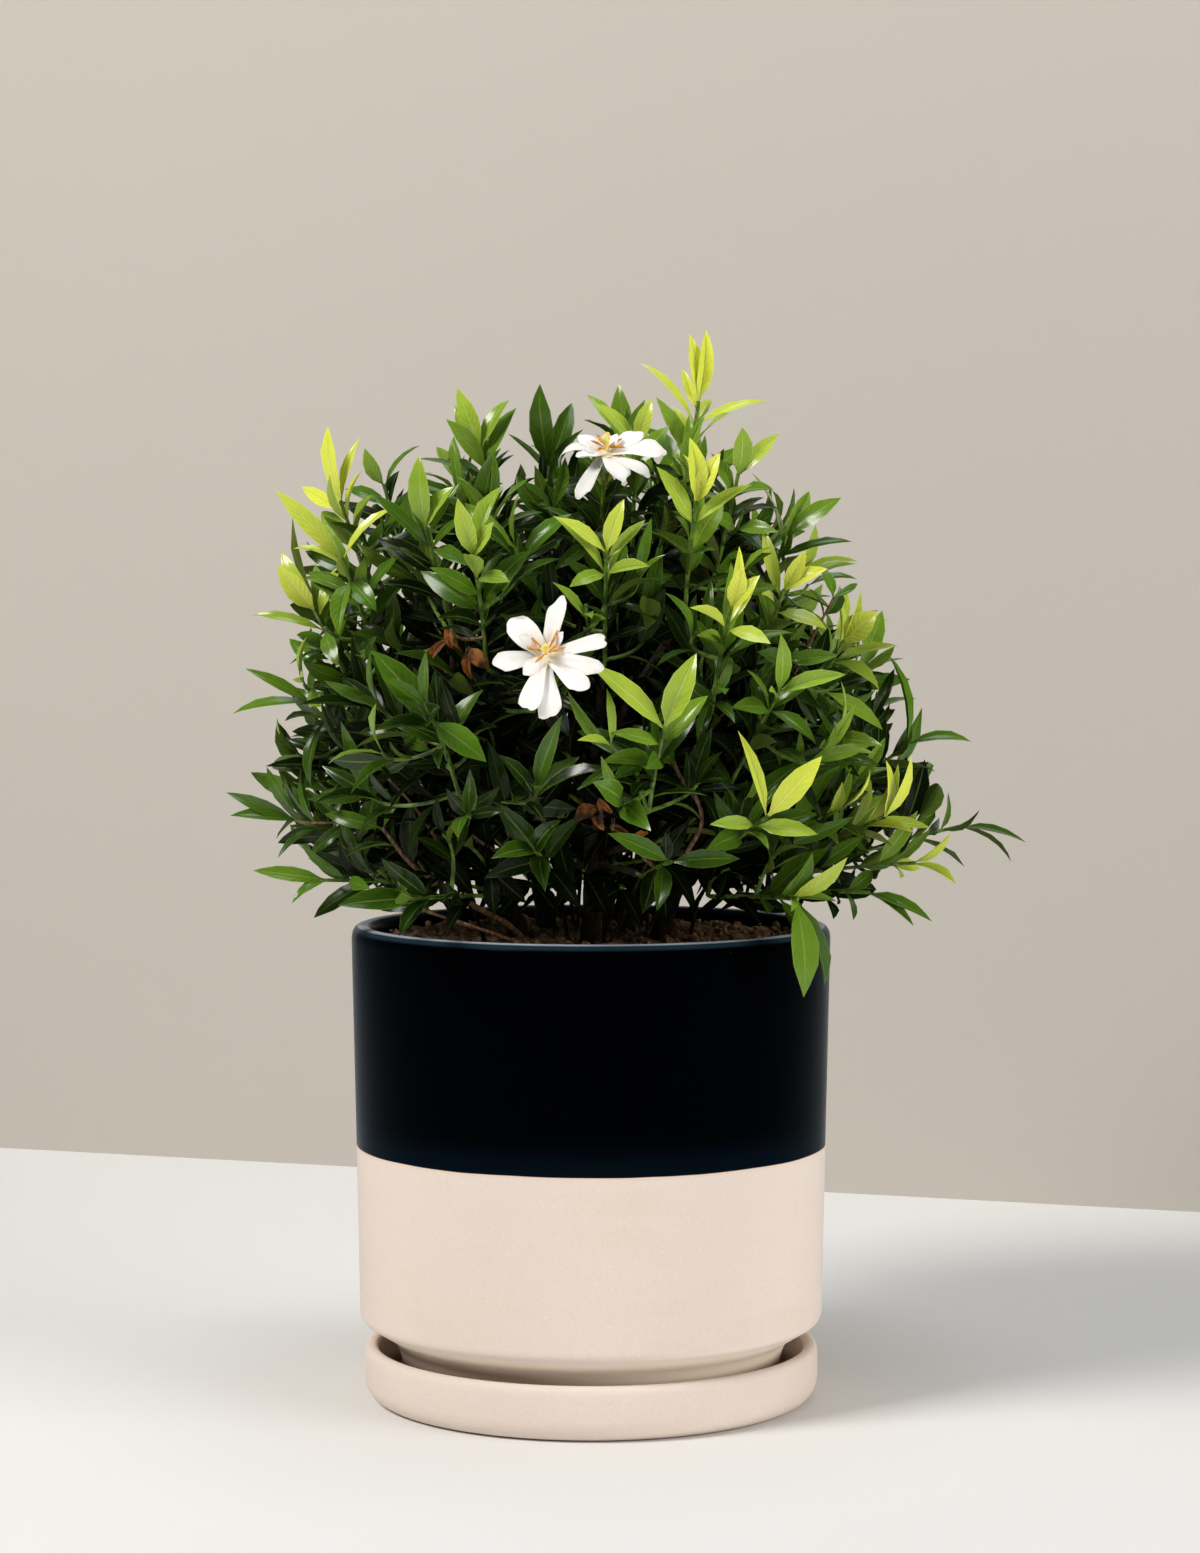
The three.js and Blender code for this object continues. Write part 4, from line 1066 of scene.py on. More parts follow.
# %% [markdown]
# ## Where the blooms are
#
# The open bloom looks at the camera and the upper one is seen from its edge. Each takes up room
# for its petals and its tube, before the leaves grow. The petals are listed as angle, length
# and width.

# %% Blooms
PETALS = [
    (19, 23, 8), (80, 21, 8), (131, 21, 10.5), (184, 20, 8.5), (222, 12, 7), (249, 24, 9.5),
    (274, 25, 9), (315, 19.5, 8.5), (342, 21, 8.5),
]  # fmt: skip
PETAL_RISE, PETAL_ARCH = 12, 0.4


class Bloom:
    """Where a bloom is, and the directions across it, up it and out of it."""

    def __init__(self, centre, facing, roll):
        self.centre, self.face = vec(*centre), unit(vec(*facing))
        turns = [turn_about(v, self.face, math.radians(roll)) for v in square_to(self.face)]
        self.across, self.up = turns

    def at(self, x, y, out):
        return self.centre + self.across * x + self.up * y + self.face * out

    def blade(self, angle, rise, inward, out, length, width, arch):
        a, r = math.radians(angle), math.radians(rise)
        way = self.across * math.cos(a) + self.up * math.sin(a)
        chord = way * length * math.cos(r) + self.face * length * math.sin(r)
        return blade(self.at(0, 0, out) + way * inward, chord, self.face, width, arch)


def plan_blooms():
    blooms = []
    for i, plan in enumerate(BLOOMS):
        bloom = Bloom(*plan)
        for k, (angle, length, width) in enumerate(PETALS):
            rise = PETAL_RISE + 5 * (draw(i, k) - 0.5)
            petal = bloom.blade(angle, rise, 1.8, -1.6, length, width, PETAL_ARCH)
            room.take(*blade_lines(petal, petal_outline), CLEAR_BLADE, f"bloom{i}", "petal")
        claim([bloom.at(0, 0, -TUBE_LENGTH), bloom.at(0, 0, 0)], 3, f"bloom{i}", "tube")
        blooms.append(bloom)
    return blooms


# %% Growing the plan
stems = main_stems()
shoots = plan_shoots(stems)
route_branches(stems)
blooms = plan_blooms()
grow_listed_leaves(shoots)
grow_other_leaves(shoots)
print("planned", len(shoots), "shoots,", sum(len(s["grown"]) for s in shoots), "leaves")

# %% [markdown]
# ## What grows between
#
# A real gardenia of this size has thousands of leaves. The solids hold the few hundred that make
# its outline, so more are grown between them by the same rule: further leaves on the planned
# shoots, and side shoots that fill the crown to its edge. A new leaf is left out where it would
# cut one that is there, where it would hide a bloom or a listed leaf from the camera, and where
# it would blur the outline that the dense part of the crown has from the front.

# %% What stays in sight
EYE = vec(0, -EYE_DISTANCE / MM, EYE_HEIGHT / MM)
BLOOM_CLEAR, LEAF_CLEAR = 27, 3.2


def seen(p):
    """Where points stand in the camera's view, in millimetres at the pot's axis, and how far off."""
    p = np.atleast_2d(p)
    far = 1 - p[:, 1] / EYE[1]
    return (p[:, [0, 2]] - EYE[[0, 2]]) / far[:, None], p[:, 1]


hero_seen, hero_far = np.zeros((0, 2)), np.zeros(0)


def keep_in_sight(points):
    """What grows later doesn't come between these points and the camera."""
    global hero_seen, hero_far
    spot, far = seen(np.array(points))
    hero_seen, hero_far = np.concatenate([hero_seen, spot]), np.concatenate([hero_far, far])


def keep_leaf_in_sight(leaf):
    a, b = blade_lines(leaf, leaf_outline)
    keep_in_sight([*a[1:10:2], *b[1:10:2]])


def hides(points):
    """Whether points stand in front of a bloom or of a listed leaf."""
    for bloom in blooms:
        for way in (bloom.face, unit(EYE - bloom.centre)):
            out = (points - bloom.centre) @ way
            beside = np.linalg.norm(points - bloom.centre - out[:, None] * way, axis=1)
            if ((out > -3) & (beside < BLOOM_CLEAR)).any():
                return True
    spot, far = seen(points)
    apart = np.linalg.norm(spot[:, None] - hero_seen[None], axis=2)
    return bool(((apart < LEAF_CLEAR) & (far[:, None] < hero_far[None] - 1)).any())


for s in shoots[: len(FRONT_SHOOTS)]:
    for leaf in s["grown"][: len(s["leaves"])]:
        keep_leaf_in_sight(leaf)
print("kept in sight:", len(hero_far), "points of listed leaves")

# %% The crown's outline from the front: how far it reaches left and right at each height
OUTLINE_HEIGHTS = [200, 208, 219, 229, 240, 262, 300, 344, 370, 384, 392, 400]
OUTLINE_LEFT = [-88, -98, -114, -122, -132, -137, -128, -128, -130, -124, -116, -100]
OUTLINE_RIGHT = [98, 112, 128, 139, 150, 147, 136, 118, 98, 80, 70, 60]


def past_outline(points):
    """Whether points stand outside the outline."""
    spot = seen(points)[0]
    heights = spot[:, 1] + EYE[2]
    left = np.interp(heights, OUTLINE_HEIGHTS, OUTLINE_LEFT)
    right = np.interp(heights, OUTLINE_HEIGHTS, OUTLINE_RIGHT)
    return bool(((spot[:, 0] < left) | (spot[:, 0] > right)).any())


# %% A fine leaf
CLEAR_FINE = 0.35
LOWEST_FINE, LOWEST_BARE, LOWEST_LISTED = 203, 199, 198.5  # most leave the soil in sight
FINE_TRIES = [(0, 0, 1), (9, 20, 0.95), (-9, -20, 0.95), (16, -38, 0.85), (0, 42, 0.75), (-6, 0, 0.6)]


def grow_fine_leaf(s, root, d, chord, width, part, roll=0.0):
    """Grows a leaf where it first fits, rolled about its own length from the light."""
    light = turn_about(facing_light(root, d), unit(chord), roll)
    for leaf, a, b in tried(root, d, chord, light, width, FINE_TRIES):
        lowest = min(a[:, 2].min(), b[:, 2].min())
        middle = (a + b) / 2
        clear = lowest > s.get("lowest", LOWEST_FINE) and clear_of_pot(a, b)
        clear = clear and not hides(middle) and (s.get("listed") or not past_outline(middle))
        if clear and not room.too_close(a[::2], b[::2], CLEAR_FINE, s["owner"], part):
            room.take(a, b, CLEAR_FINE, s["owner"], part)
            s["fine"].append(leaf)
            return


# %% Pairs of fine leaves
def fine_pair(s, k, distance, pair, size, spread):
    """Two leaves that stand opposite each other, a distance back from the tip."""
    root, d = back_along(s["line"], distance)
    level, rising = square_to(d)
    for side in (0, 1):
        length = size * (0.75 + 0.6 * draw(k, pair, side + 20))
        wide = math.radians(spread + 16 * (draw(k, pair, side + 30) - 0.5))
        spun = math.radians(90 * pair + 180 * side + 45 + 40 * draw(k, pair, side + 40))
        out = level * math.cos(spun) + rising * math.sin(spun)
        chord = d * length * math.cos(wide) + out * length * math.sin(wide)
        width = length * (0.19 + 0.13 * draw(k, pair, side + 50))
        roll = 1.7 * (draw(k, pair, side + 60) - 0.5)
        grow_fine_leaf(s, root, d, chord, width, f"fine{k}_{pair}", roll)


def fine_pairs(s, k, distances, spread, wider=0):
    """Pairs of leaves along a stem, each pair spread wider than the last."""
    for pair, distance in enumerate(distances):
        if distance < s["length"] - 2:
            fine_pair(s, k, distance, pair, s["size"], spread + wider * pair)


def leaf_count(stems):
    return sum(len(s["fine"]) for s in stems)


# %% [markdown]
# ## Side shoots
#
# A side shoot starts on the nearest stem that is further in than its tip, and bends towards it.
# What is known of such a stem is kept as one record, so that branches, twigs and side shoots can
# all be given leaves in the same way.

# %% The record of a further stem
side_shoots = []


def sprout(line, owner, age, size, length, body=None, lowest=LOWEST_BARE):
    """A stem for leaves to grow on. Its body is green or bark, or None where it has one already."""
    return {
        "line": line, "tip": line[-1], "owner": owner, "age": age, "size": size, "length": length,
        "body": body, "lowest": lowest, "fine": [],
    }  # fmt: skip


# %% A side shoot
LONGEST_SIDE_SHOOT = 75
shoot_reaches = np.array([np.linalg.norm(s["tip"] - CROWN_CENTRE) for s in shoots])
shoot_ways = np.array([unit(s["tip"] - CROWN_CENTRE) for s in shoots])
held = np.array([p for s in shoots for p in [*s["woody"], *s["line"][:-2]]])
tips = [s["tip"] for s in shoots]


def crown_reach(way):
    """How far the crown reaches in a direction, from the shoots near that direction."""
    share = np.exp((shoot_ways @ way - 1) / 0.02)
    return (share * shoot_reaches).sum() / share.sum()


def side_shoot(k, tip, leaf_length):
    """A shoot from the nearest stem further in to a tip, or None where it can't get through."""
    further_in = np.linalg.norm(held - CROWN_CENTRE, axis=1) < np.linalg.norm(tip - CROWN_CENTRE) - 9
    away = np.linalg.norm(held - tip, axis=1) + np.where(further_in, 0, 999)
    start = held[int(np.argmin(away))]
    far = np.linalg.norm(tip - start)
    if far > LONGEST_SIDE_SHOOT:
        return None
    sideways, rise = square_to(unit(tip - start))
    outward = unit(tip - CROWN_CENTRE)
    for aside, up in KNEES[:5]:
        knee = tip - (outward * 0.8 + UP * 0.25) * far * 0.5 + sideways * aside + rise * up
        line = route(start, knee, tip, 6)
        a, b = np.array(line[1:-1]), np.array(line[2:])
        if clear_of_pot(a, b) and not room.too_close(a, b, 0.9, f"side{k}", "stem"):
            claim(line, 1.0, f"side{k}", "stem")
            tips.append(tip)
            return sprout(line, f"side{k}", 0.0, leaf_length, far, "green", LOWEST_FINE)
    return None


# %% [markdown]
# ## Brown branches
#
# Low down at the front a few bare brown branches show between the leaves, and two more at the
# sides. They are listed as the points that they pass through and their radii at both ends, and
# carry a few leaves near their ends.

# %% Brown branches
BRANCHES = [
    ([(-22, -20, 188), (-30, -48, 193), (-42, -60, 198.5), (-58, -62, 204), (-72, -63, 209)],
     (1.0, 0.6)),
    ([(-26, -14, 188), (-34, -36, 199), (-44, -50, 206), (-58, -55, 215.5), (-72, -57, 225),
      (-84, -58, 240)], (1.6, 0.8)),
    ([(-58, -55, 215.5), (-58, -58, 225), (-63, -60, 237), (-72, -62, 250), (-81, -64, 260)],
     (0.8, 0.5)),
    ([(-22, -42, 222), (-32, -56, 227), (-45, -60, 235), (-56, -64, 246)], (0.8, 0.5)),
    ([(38, -84, 232), (43, -98, 243), (42, -102, 252), (34, -104, 264), (30, -104, 275)], (0.9, 0.6)),
    ([(-88, -34, 238), (-97, -40, 241), (-108, -42, 241), (-119, -40, 241)], (0.7, 0.4)),
    ([(80, -30, 296), (84, -40, 304), (90, -42, 316), (99, -40, 333)], (0.7, 0.5)),
]  # fmt: skip
branch_routes = []
for n, (points, radii) in enumerate(BRANCHES):
    line = [vec(*p) for p in points]
    claim(line, radii[0], f"branch{n}", "stem")
    keep_in_sight(line[1:])
    branch_routes.append((line, radii))
    s = sprout(line, f"branch{n}", 0.3, 21, 45)
    fine_pairs(s, 2000 + n, [0.5, 9, 20], 48)
    side_shoots.append(s)
print(len(BRANCHES), "branches with", leaf_count(side_shoots), "leaves")

# %% [markdown]
# ## Further listed shoots
#
# Three more shoots show at the right, and nine dark ones hang low in front of the bare stems.
# They are listed as the planned ones are: tip, age, and the reach and width of four leaves.
# Where no way in from a stem is free, the shoot comes up from the soil.

# %% Further listed shoots
EXTRA_SHOOTS = [
    ((62, -42, 368), 0.6, [(11, -7, 18, 10), (2, -7, 23, 10), (20, -6, 2, 8), (-12, -14, 6, 7)]),
    ((82, -76, 312), 0.5, [(2, -6, 18, 7), (10, -8, 9, 8), (21, -8, -3, 8), (-12, -15, 4, 8)]),
    ((88, 34, 343), 0.7, [(27, 3, 8, 6), (9, 8, 22, 8), (20, 8, -8, 7), (-4, 12, 20, 8)]),
    ((-14, -66, 240), 0.1, [(6, -6, -24, 9), (-12, -8, -20, 8), (-20, -6, 2, 7), (14, -10, 6, 7)]),
    ((-3, -60, 223), 0.05, [(10, -8, -18, 9), (-18, -8, -10, 8), (16, -8, 4, 7), (-6, -10, 12, 7)]),
    ((27, -58, 230), 0.05, [(4, -4, -29, 10), (16, -4, -22, 8), (-14, -6, -10, 7), (22, -4, 4, 7)]),
    ((56, -52, 223), 0.05, [(14, -6, -16, 8), (-8, -8, -14, 7), (20, -6, 6, 7), (2, -10, 14, 7)]),
    ((-40, -74, 224), 0.15, [(-6, -8, -17, 8), (14, -8, -12, 8), (-20, -6, 4, 7), (4, -12, 14, 7)]),
    ((8, -46, 240), 0.05, [(-8, -8, -24, 9), (12, -8, -22, 9), (-20, -6, -4, 8), (18, -8, 2, 7)]),
    ((12, -60, 216), 0.05, [(-16, -6, -10, 8), (15, -6, -12, 8), (-8, -8, 14, 7), (6, -8, 14, 7)]),
    ((-24, -48, 218), 0.05, [(-14, -6, -14, 8), (12, -6, -15, 8), (-12, -8, 12, 7), (10, -8, 12, 7)]),
    ((-64, -60, 222), 0.25, [(-18, -8, -6, 7), (-4, -10, -12, 7), (-16, -6, 10, 6), (10, -10, 6, 6)]),
]
EXTRA_LEAF_LENGTH = 24


def shoot_from_soil(k, tip):
    foot = tip * [0.45, 0.45, 0] + UP * (SOIL_TOP - 3)
    line = route(foot, foot + UP * 26, tip, 6)
    claim(line, 0.8, f"side{k}", "stem")
    return sprout(line, f"side{k}", 0.0, EXTRA_LEAF_LENGTH, 30, "green")


for n, (end, age, leaves) in enumerate(EXTRA_SHOOTS):
    s = side_shoot(3000 + n, vec(*end), EXTRA_LEAF_LENGTH) or shoot_from_soil(3000 + n, vec(*end))
    s["age"], s["lowest"], s["listed"] = age, LOWEST_LISTED, True
    for i, (x, y, z, width) in enumerate(leaves):
        root, d = back_along(s["line"], NODE_DISTANCES[i // 2])
        grow_fine_leaf(s, root, d, vec(x, y, z), width, f"pair{i // 2}")
    for leaf in s["fine"]:
        keep_leaf_in_sight(leaf)
    fine_pairs(s, 3000 + n, [5, 16, 27], 45)
    side_shoots.append(s)
print("listed shoots in all", len(FRONT_SHOOTS) + len(EXTRA_SHOOTS))

# %% [markdown]
# ## Where the dead leaves hang
#
# A few dried leaves hang in little groups on twigs of their own. They are placed before the
# crown fills up, and kept in sight, because their brown breaks up the green.

# %% Dead leaves: where they hang, how many, and how long they are
DEAD_SPOTS = [
    ((-55, -94, 320), 3, 12), ((-48, -92, 313), 2, 11), ((3, -102, 253), 3, 12),
    ((9, -98, 243), 2, 13), ((22, -104, 241), 1, 10),
]  # fmt: skip
dead_leaves, dead_twigs = [], []


def dead(root, chord, width, seed):
    leaf = blade(root, chord, vec(-0.4, -1, 0.3), width, 0.9)
    leaf["seed"] = seed
    return leaf


for n, (spot, count, length) in enumerate(DEAD_SPOTS):
    s = side_shoot(4000 + n, vec(*spot), 20)
    if s is None:
        print("no way to the dead leaves at", spot)
        continue
    dead_twigs.append(s["line"])
    for j in range(count):
        way = unit(vec(2.4 * draw(n, j, 91) - 1.2, -0.4 - 0.5 * draw(n, j, 92), -0.3 - draw(n, j, 93)))
        chord = way * length * (0.7 + 0.5 * draw(n, j, 94))
        leaf = dead(s["tip"] + vec(0, 0, -2.0 * j), chord, 5 + 1.5 * draw(n, j, 95), 10 * n + j)
        a, b = blade_lines(leaf, leaf_outline)
        room.take(a, b, CLEAR_FINE, s["owner"], "dead")
        keep_in_sight([*a[3:9:3], *b[3:9:3]])
        dead_leaves.append(leaf)
print(len(dead_leaves), "dead leaves on", len(dead_twigs), "twigs")

# %% [markdown]
# ## Filling the crown
#
# First the planned shoots get further leaves. Then side shoots fill the crown in layers, from
# its edge inwards. The places of a layer lie on a spiral that turns by the golden angle, which
# spreads them evenly. Places low down are thinned out, so that stems and gaps show there.

# %% More leaves on the planned shoots
for k, s in enumerate(shoots):
    s["fine"] = []
    for pair, distance in enumerate([4, 10, 17, 24, 31, 39]):
        if distance < s["length"]:
            fine_pair(s, k, distance, pair, s["size"] * 0.85, 38 + 4 * pair)
print("further leaves on the planned shoots", leaf_count(shoots))

# %% Side shoots: each layer's share of the crown's reach, and how many places it has
SIDE_LAYERS = [(0.96, 230), (0.84, 180), (0.7, 140), (0.55, 100), (0.4, 50)]
SIDE_NODES = [0.5, 7, 14, 22, 31, 41]
GOLDEN_ANGLE = 2.39996
TIP_ROOM, LOWEST_TIP, SPARSE_BELOW, SPARSE_BAND = 15, 212, 215, 55


def side_age(k, tip, share):
    """A side shoot is about as old as the planned shoot that is nearest, and darker further in, partly
    by age and partly as painted shade.
    """
    near = int(np.argmin([np.linalg.norm(tip - s["tip"]) for s in shoots]))
    return min(max(shoots[near]["age"] * 0.7 + 0.5 * draw(k, 64) - 0.25, 0), 1) * share**2


k = 0
for layer, (share, count) in enumerate(SIDE_LAYERS):
    for i in range(count):
        k += 1
        height = 1 - (i + 0.5) / count * 1.3
        angle = GOLDEN_ANGLE * i + layer + 0.25 * draw(k, 61)
        level = math.sqrt(1 - height * height)
        way = vec(level * math.cos(angle), level * math.sin(angle), height)
        tip = CROWN_CENTRE + way * crown_reach(way) * share * (0.95 + 0.08 * draw(k, 62))
        crowded = min(np.linalg.norm(tip - t) for t in tips) < TIP_ROOM
        bare = draw(k, 65) > 0.3 + (tip[2] - SPARSE_BELOW) / SPARSE_BAND
        if crowded or bare or tip[2] < LOWEST_TIP or hides(tip[None]) or past_outline(tip[None]):
            continue
        s = side_shoot(k, tip, 21 + 10 * draw(k, 63))
        if s is None:
            continue
        s["age"] = side_age(k, tip, share)
        fine_pairs(s, k + 500, SIDE_NODES, 28, 7)
        side_shoots.append(s)
print(len(side_shoots), "side shoots with", leaf_count(side_shoots), "leaves")

# %% [markdown]
# ## Twigs, and leaves on the branches
#
# Thin dark twigs stand in the soil among the stems, a little crooked, with a few leaves. Last,
# the woody branches themselves get small dark leaves, which close the view into the crown.

# %% Thin twigs that stand in the soil among the stems
TWIGS, TWIG_KINK = 70, 1.6
TWIG_NODES = [0.5, 8, 16, 25, 36, 48]
for i in range(TWIGS):
    angle, near = 2 * math.pi * draw(i, 81), 8 + 40 * math.sqrt(draw(i, 82))
    out = vec(math.cos(angle), math.sin(angle), 0)
    foot = out * near + UP * (SOIL_TOP - 3)
    angle += 1.2 * (draw(i, 83) - 0.5)
    lean = vec(math.cos(angle), math.sin(angle), 0) * (10 + 34 * draw(i, 84))
    tip = out * near + lean + UP * (228 + 74 * draw(i, 85))
    line = route(foot, foot + lean * 0.3 + UP * 18, tip, 7)
    for j in range(1, len(line)):
        line[j] = line[j] + vec(draw(i, j, 86) - 0.5, draw(i, j, 87) - 0.5, 0) * TWIG_KINK
    a, b = np.array(line[:-1]), np.array(line[1:])
    if room.too_close(a, b, 0.6, f"twig{i}", "stem"):
        continue
    claim(line, 0.8, f"twig{i}", "stem")
    s = sprout(line, f"twig{i}", 0.1, 20, 60, "bark")
    s["tip"] = tip
    for pair, distance in enumerate(TWIG_NODES):
        if draw(5000 + i, pair, 88) > 0.2:
            fine_pair(s, 5000 + i, distance, pair, s["size"], 50)
    side_shoots.append(s)

# %% Small dark leaves on the woody branches
for n, s in enumerate(shoots):
    reach = sum(np.linalg.norm(q - p) for p, q in zip(s["woody"], s["woody"][1:]))
    inner = sprout(s["woody"], s["wood"], 0.0, 20, reach)
    fine_pairs(inner, 6000 + n, np.arange(5, reach - 6, 9), 55)
    side_shoots.append(inner)
print(len(side_shoots), "with twigs and branches,", leaf_count(side_shoots), "leaves")
print("lines taken", room.count)

# %% [markdown]
# ## Stems
#
# A stem is a curve with a round bevel, which is what a curve object is for: each point has its
# own thickness, so a stem thins towards its end and swells a little at its nodes. Hundreds of
# them are splines of one curve, which is then made a mesh.

# %% A smooth line
bpy.context.scene.cursor.location = (0, 0, 0)


def rounded(points, per=3):
    """More points on a smooth line through the given ones."""
    p = [2 * points[0] - points[1], *points, 2 * points[-1] - points[-2]]
    made = []
    for i in range(1, len(p) - 2):
        for t in np.arange(per) / per:
            made.append(
                0.5 * (2 * p[i] + (p[i + 1] - p[i - 1]) * t
                + (2 * p[i - 1] - 5 * p[i] + 4 * p[i + 1] - p[i + 2]) * t * t
                + (3 * p[i] - p[i - 1] - 3 * p[i + 1] + p[i + 2]) * t**3)
            )  # fmt: skip
    return [*made, points[-1]]


# %% Round stems
STEM_ANGLE = 50


def stem_bodies(name, routes, finish, fineness=1):
    """One mesh of round stems, from routes of points and their radii in millimetres."""
    curve = bpy.data.curves.new(name, "CURVE")
    curve.dimensions, curve.fill_mode = "3D", "FULL"
    curve.bevel_depth, curve.bevel_resolution, curve.use_fill_caps = MM, fineness, True
    for points, radii in routes:
        spline = curve.splines.new("POLY")
        spline.points.add(len(points) - 1)
        for knot, p, r in zip(spline.points, points, radii):
            knot.co, knot.radius = (*(p * MM), 1), r
    new_piece(name, curve)
    bpy.ops.object.convert(target="MESH")
    outwards(STEM_ANGLE)
    paint(bpy.context.object, finish)
    return bpy.context.object


def thinning(count, thick, thin, seed, knobs=0.14):
    """Radii from thick to thin, with small swellings."""
    return [
        (thick + (thin - thick) * i / (count - 1)) * (1 + knobs * (draw(seed, i) - 0.4))
        for i in range(count)
    ]


# %% Woody stems
ROOT_SWELL, SWOLLEN_POINTS = 1.25, 9
for i, m in enumerate(stems):
    line = rounded(m["line"], 5)
    radii = thinning(len(line), *MAIN_STEM_RADII, i)
    radii[:SWOLLEN_POINTS] = [r * ROOT_SWELL for r in radii[:SWOLLEN_POINTS]]
    routes = [(line, radii)]
    for j, s in enumerate(m["branches"]):
        line = rounded(s["woody"], 5)
        routes.append((line, thinning(len(line), *BRANCH_RADII, 20 * i + j)))
    piece = stem_bodies(f"woody_stem_{i + 1}_fine", routes, SHADED_BARK_FINISH, 2)
    hand_in(piece, "bark", f"woody_stem_{i + 1}")

# %% [markdown]
# ## The leaf, modelled once
#
# The leaf starts as a flat grid of four by six faces. Its cross rows are scaled one by one to
# the outline, a lance shape that is widest before the middle. A copy of the sheet, turned over
# and joined at the margin, makes it a closed body. Each leaf of the plant is a copy of this form
# that is bent along its own blade: folded at the midrib, arched, twisted and a little wavy.

# %% Choosing points by their place
import bmesh


def select_where(test):
    """In edit mode, selects the points whose place passes the test."""
    mesh = bmesh.from_edit_mesh(bpy.context.object.data)
    mesh.select_mode = {"VERT"}
    for v in mesh.verts:
        v.select_set(bool(test(v.co)))
    mesh.select_flush_mode()
    bmesh.update_edit_mesh(bpy.context.object.data)


# %% A sheet form
PAST_GRID = 1.0001  # rows move past the grid first, so that none meets one that still waits
FORM_THICKNESS = 0.5


def sheet_form(name, columns, places, widths):
    """A closed thin form: x across from -1 to 1, y along at the given places, 0.5 thick."""
    rows = len(places) - 1
    bpy.ops.object.select_all(action="DESELECT")
    bpy.ops.mesh.primitive_grid_add(x_subdivisions=columns, y_subdivisions=rows, size=2)
    form = bpy.context.object
    form.name = name
    bpy.ops.object.mode_set(mode="EDIT")
    bpy.context.tool_settings.mesh_select_mode = (True, False, False)
    for i in reversed(range(rows + 1)):
        row = 2 * i / rows - 1
        select_where(lambda co: abs(co.y - row) < 0.01)
        bpy.ops.transform.resize(value=(widths[i], 1, 1))
        bpy.ops.transform.translate(value=(0, places[i] + PAST_GRID - row, 0))
    bpy.ops.mesh.select_all(action="SELECT")
    bpy.ops.transform.translate(value=(0, -PAST_GRID, 0))
    bpy.ops.mesh.duplicate()
    bpy.ops.mesh.flip_normals()
    bpy.ops.transform.translate(value=(0, 0, -1))
    bpy.ops.object.mode_set(mode="OBJECT")
    mesh = form.data
    halves = np.interp([v.co.y for v in mesh.vertices], places, widths)
    for v, half in zip(mesh.vertices, halves):
        if abs(v.co.x) > half * 0.99 or v.co.y < 0.001 or v.co.y > 0.999:
            v.co.z = -FORM_THICKNESS
    bpy.ops.object.mode_set(mode="EDIT")
    bpy.ops.mesh.select_all(action="SELECT")
    bpy.ops.mesh.remove_doubles(threshold=0.0005)
    bpy.ops.object.mode_set(mode="OBJECT")
    points = np.array([v.co for v in mesh.vertices])
    chart = np.array([u.uv for u in mesh.uv_layers[0].data])
    chart[:, 1] = points[[loop.vertex_index for loop in mesh.loops], 1]
    made = {
        "points": points,
        "faces": [tuple(p.vertices) for p in mesh.polygons],
        "chart": chart,
        "under": np.array([p.normal.z < 0 for p in mesh.polygons], float),
    }
    bpy.data.objects.remove(form)
    print(name, len(made["points"]), "points", len(made["faces"]), "faces")
    return made


LEAF_FORM = sheet_form(
    "leaf_form", 4, [0, 0.1, 0.27, 0.47, 0.68, 0.87, 1], [0.09, 0.2, 0.78, 1.0, 0.86, 0.4, 0]
)


# %% [markdown]
# ## Hundreds of leaves in one mesh
#
# Thousands of objects would be slow, so all leaves of a piece are one mesh. Its points are the
# form's points, bent along every blade at once with arrays, and its faces repeat the form's. The
# numbers that the material reads are attributes: which side a face is on, and one value a leaf
# for each of the others.

# %% Copies of a form
LEAF_ANGLE = 58


def copies(name, form, points, finish, numbers):
    """One mesh of many bent copies. Each copy has a value for every named number."""
    n, v = points.shape[:2]
    corners = np.concatenate(form["faces"])
    sizes = np.array([len(f) for f in form["faces"]])
    starts = np.concatenate([[0], np.cumsum(sizes)[:-1]])
    mesh = bpy.data.meshes.new(name)
    mesh.vertices.add(n * v)
    mesh.vertices.foreach_set("co", (points * MM).astype(np.float32).ravel())
    mesh.loops.add(n * len(corners))
    corner_points = corners + v * np.arange(n)[:, None]
    mesh.loops.foreach_set("vertex_index", corner_points.astype(np.int32).ravel())
    mesh.polygons.add(n * len(sizes))
    starts = starts + len(corners) * np.arange(n)[:, None]
    mesh.polygons.foreach_set("loop_start", starts.astype(np.int32).ravel())
    mesh.update(calc_edges=True)
    chart = mesh.uv_layers.new(name="UVMap")
    chart.data.foreach_set("uv", np.tile(form["chart"], (n, 1)).astype(np.float32).ravel())
    under = mesh.attributes.new("under", "FLOAT", "FACE")
    under.data.foreach_set("value", np.tile(form["under"], n).astype(np.float32))
    for key, values in numbers.items():
        layer = mesh.attributes.new(key, "FLOAT", "POINT")
        layer.data.foreach_set("value", np.repeat(values, v).astype(np.float32))
    mesh.validate()
    mesh.materials.append(finish)
    piece = new_piece(name, mesh)
    bpy.ops.object.shade_smooth_by_angle(angle=math.radians(LEAF_ANGLE))
    return piece


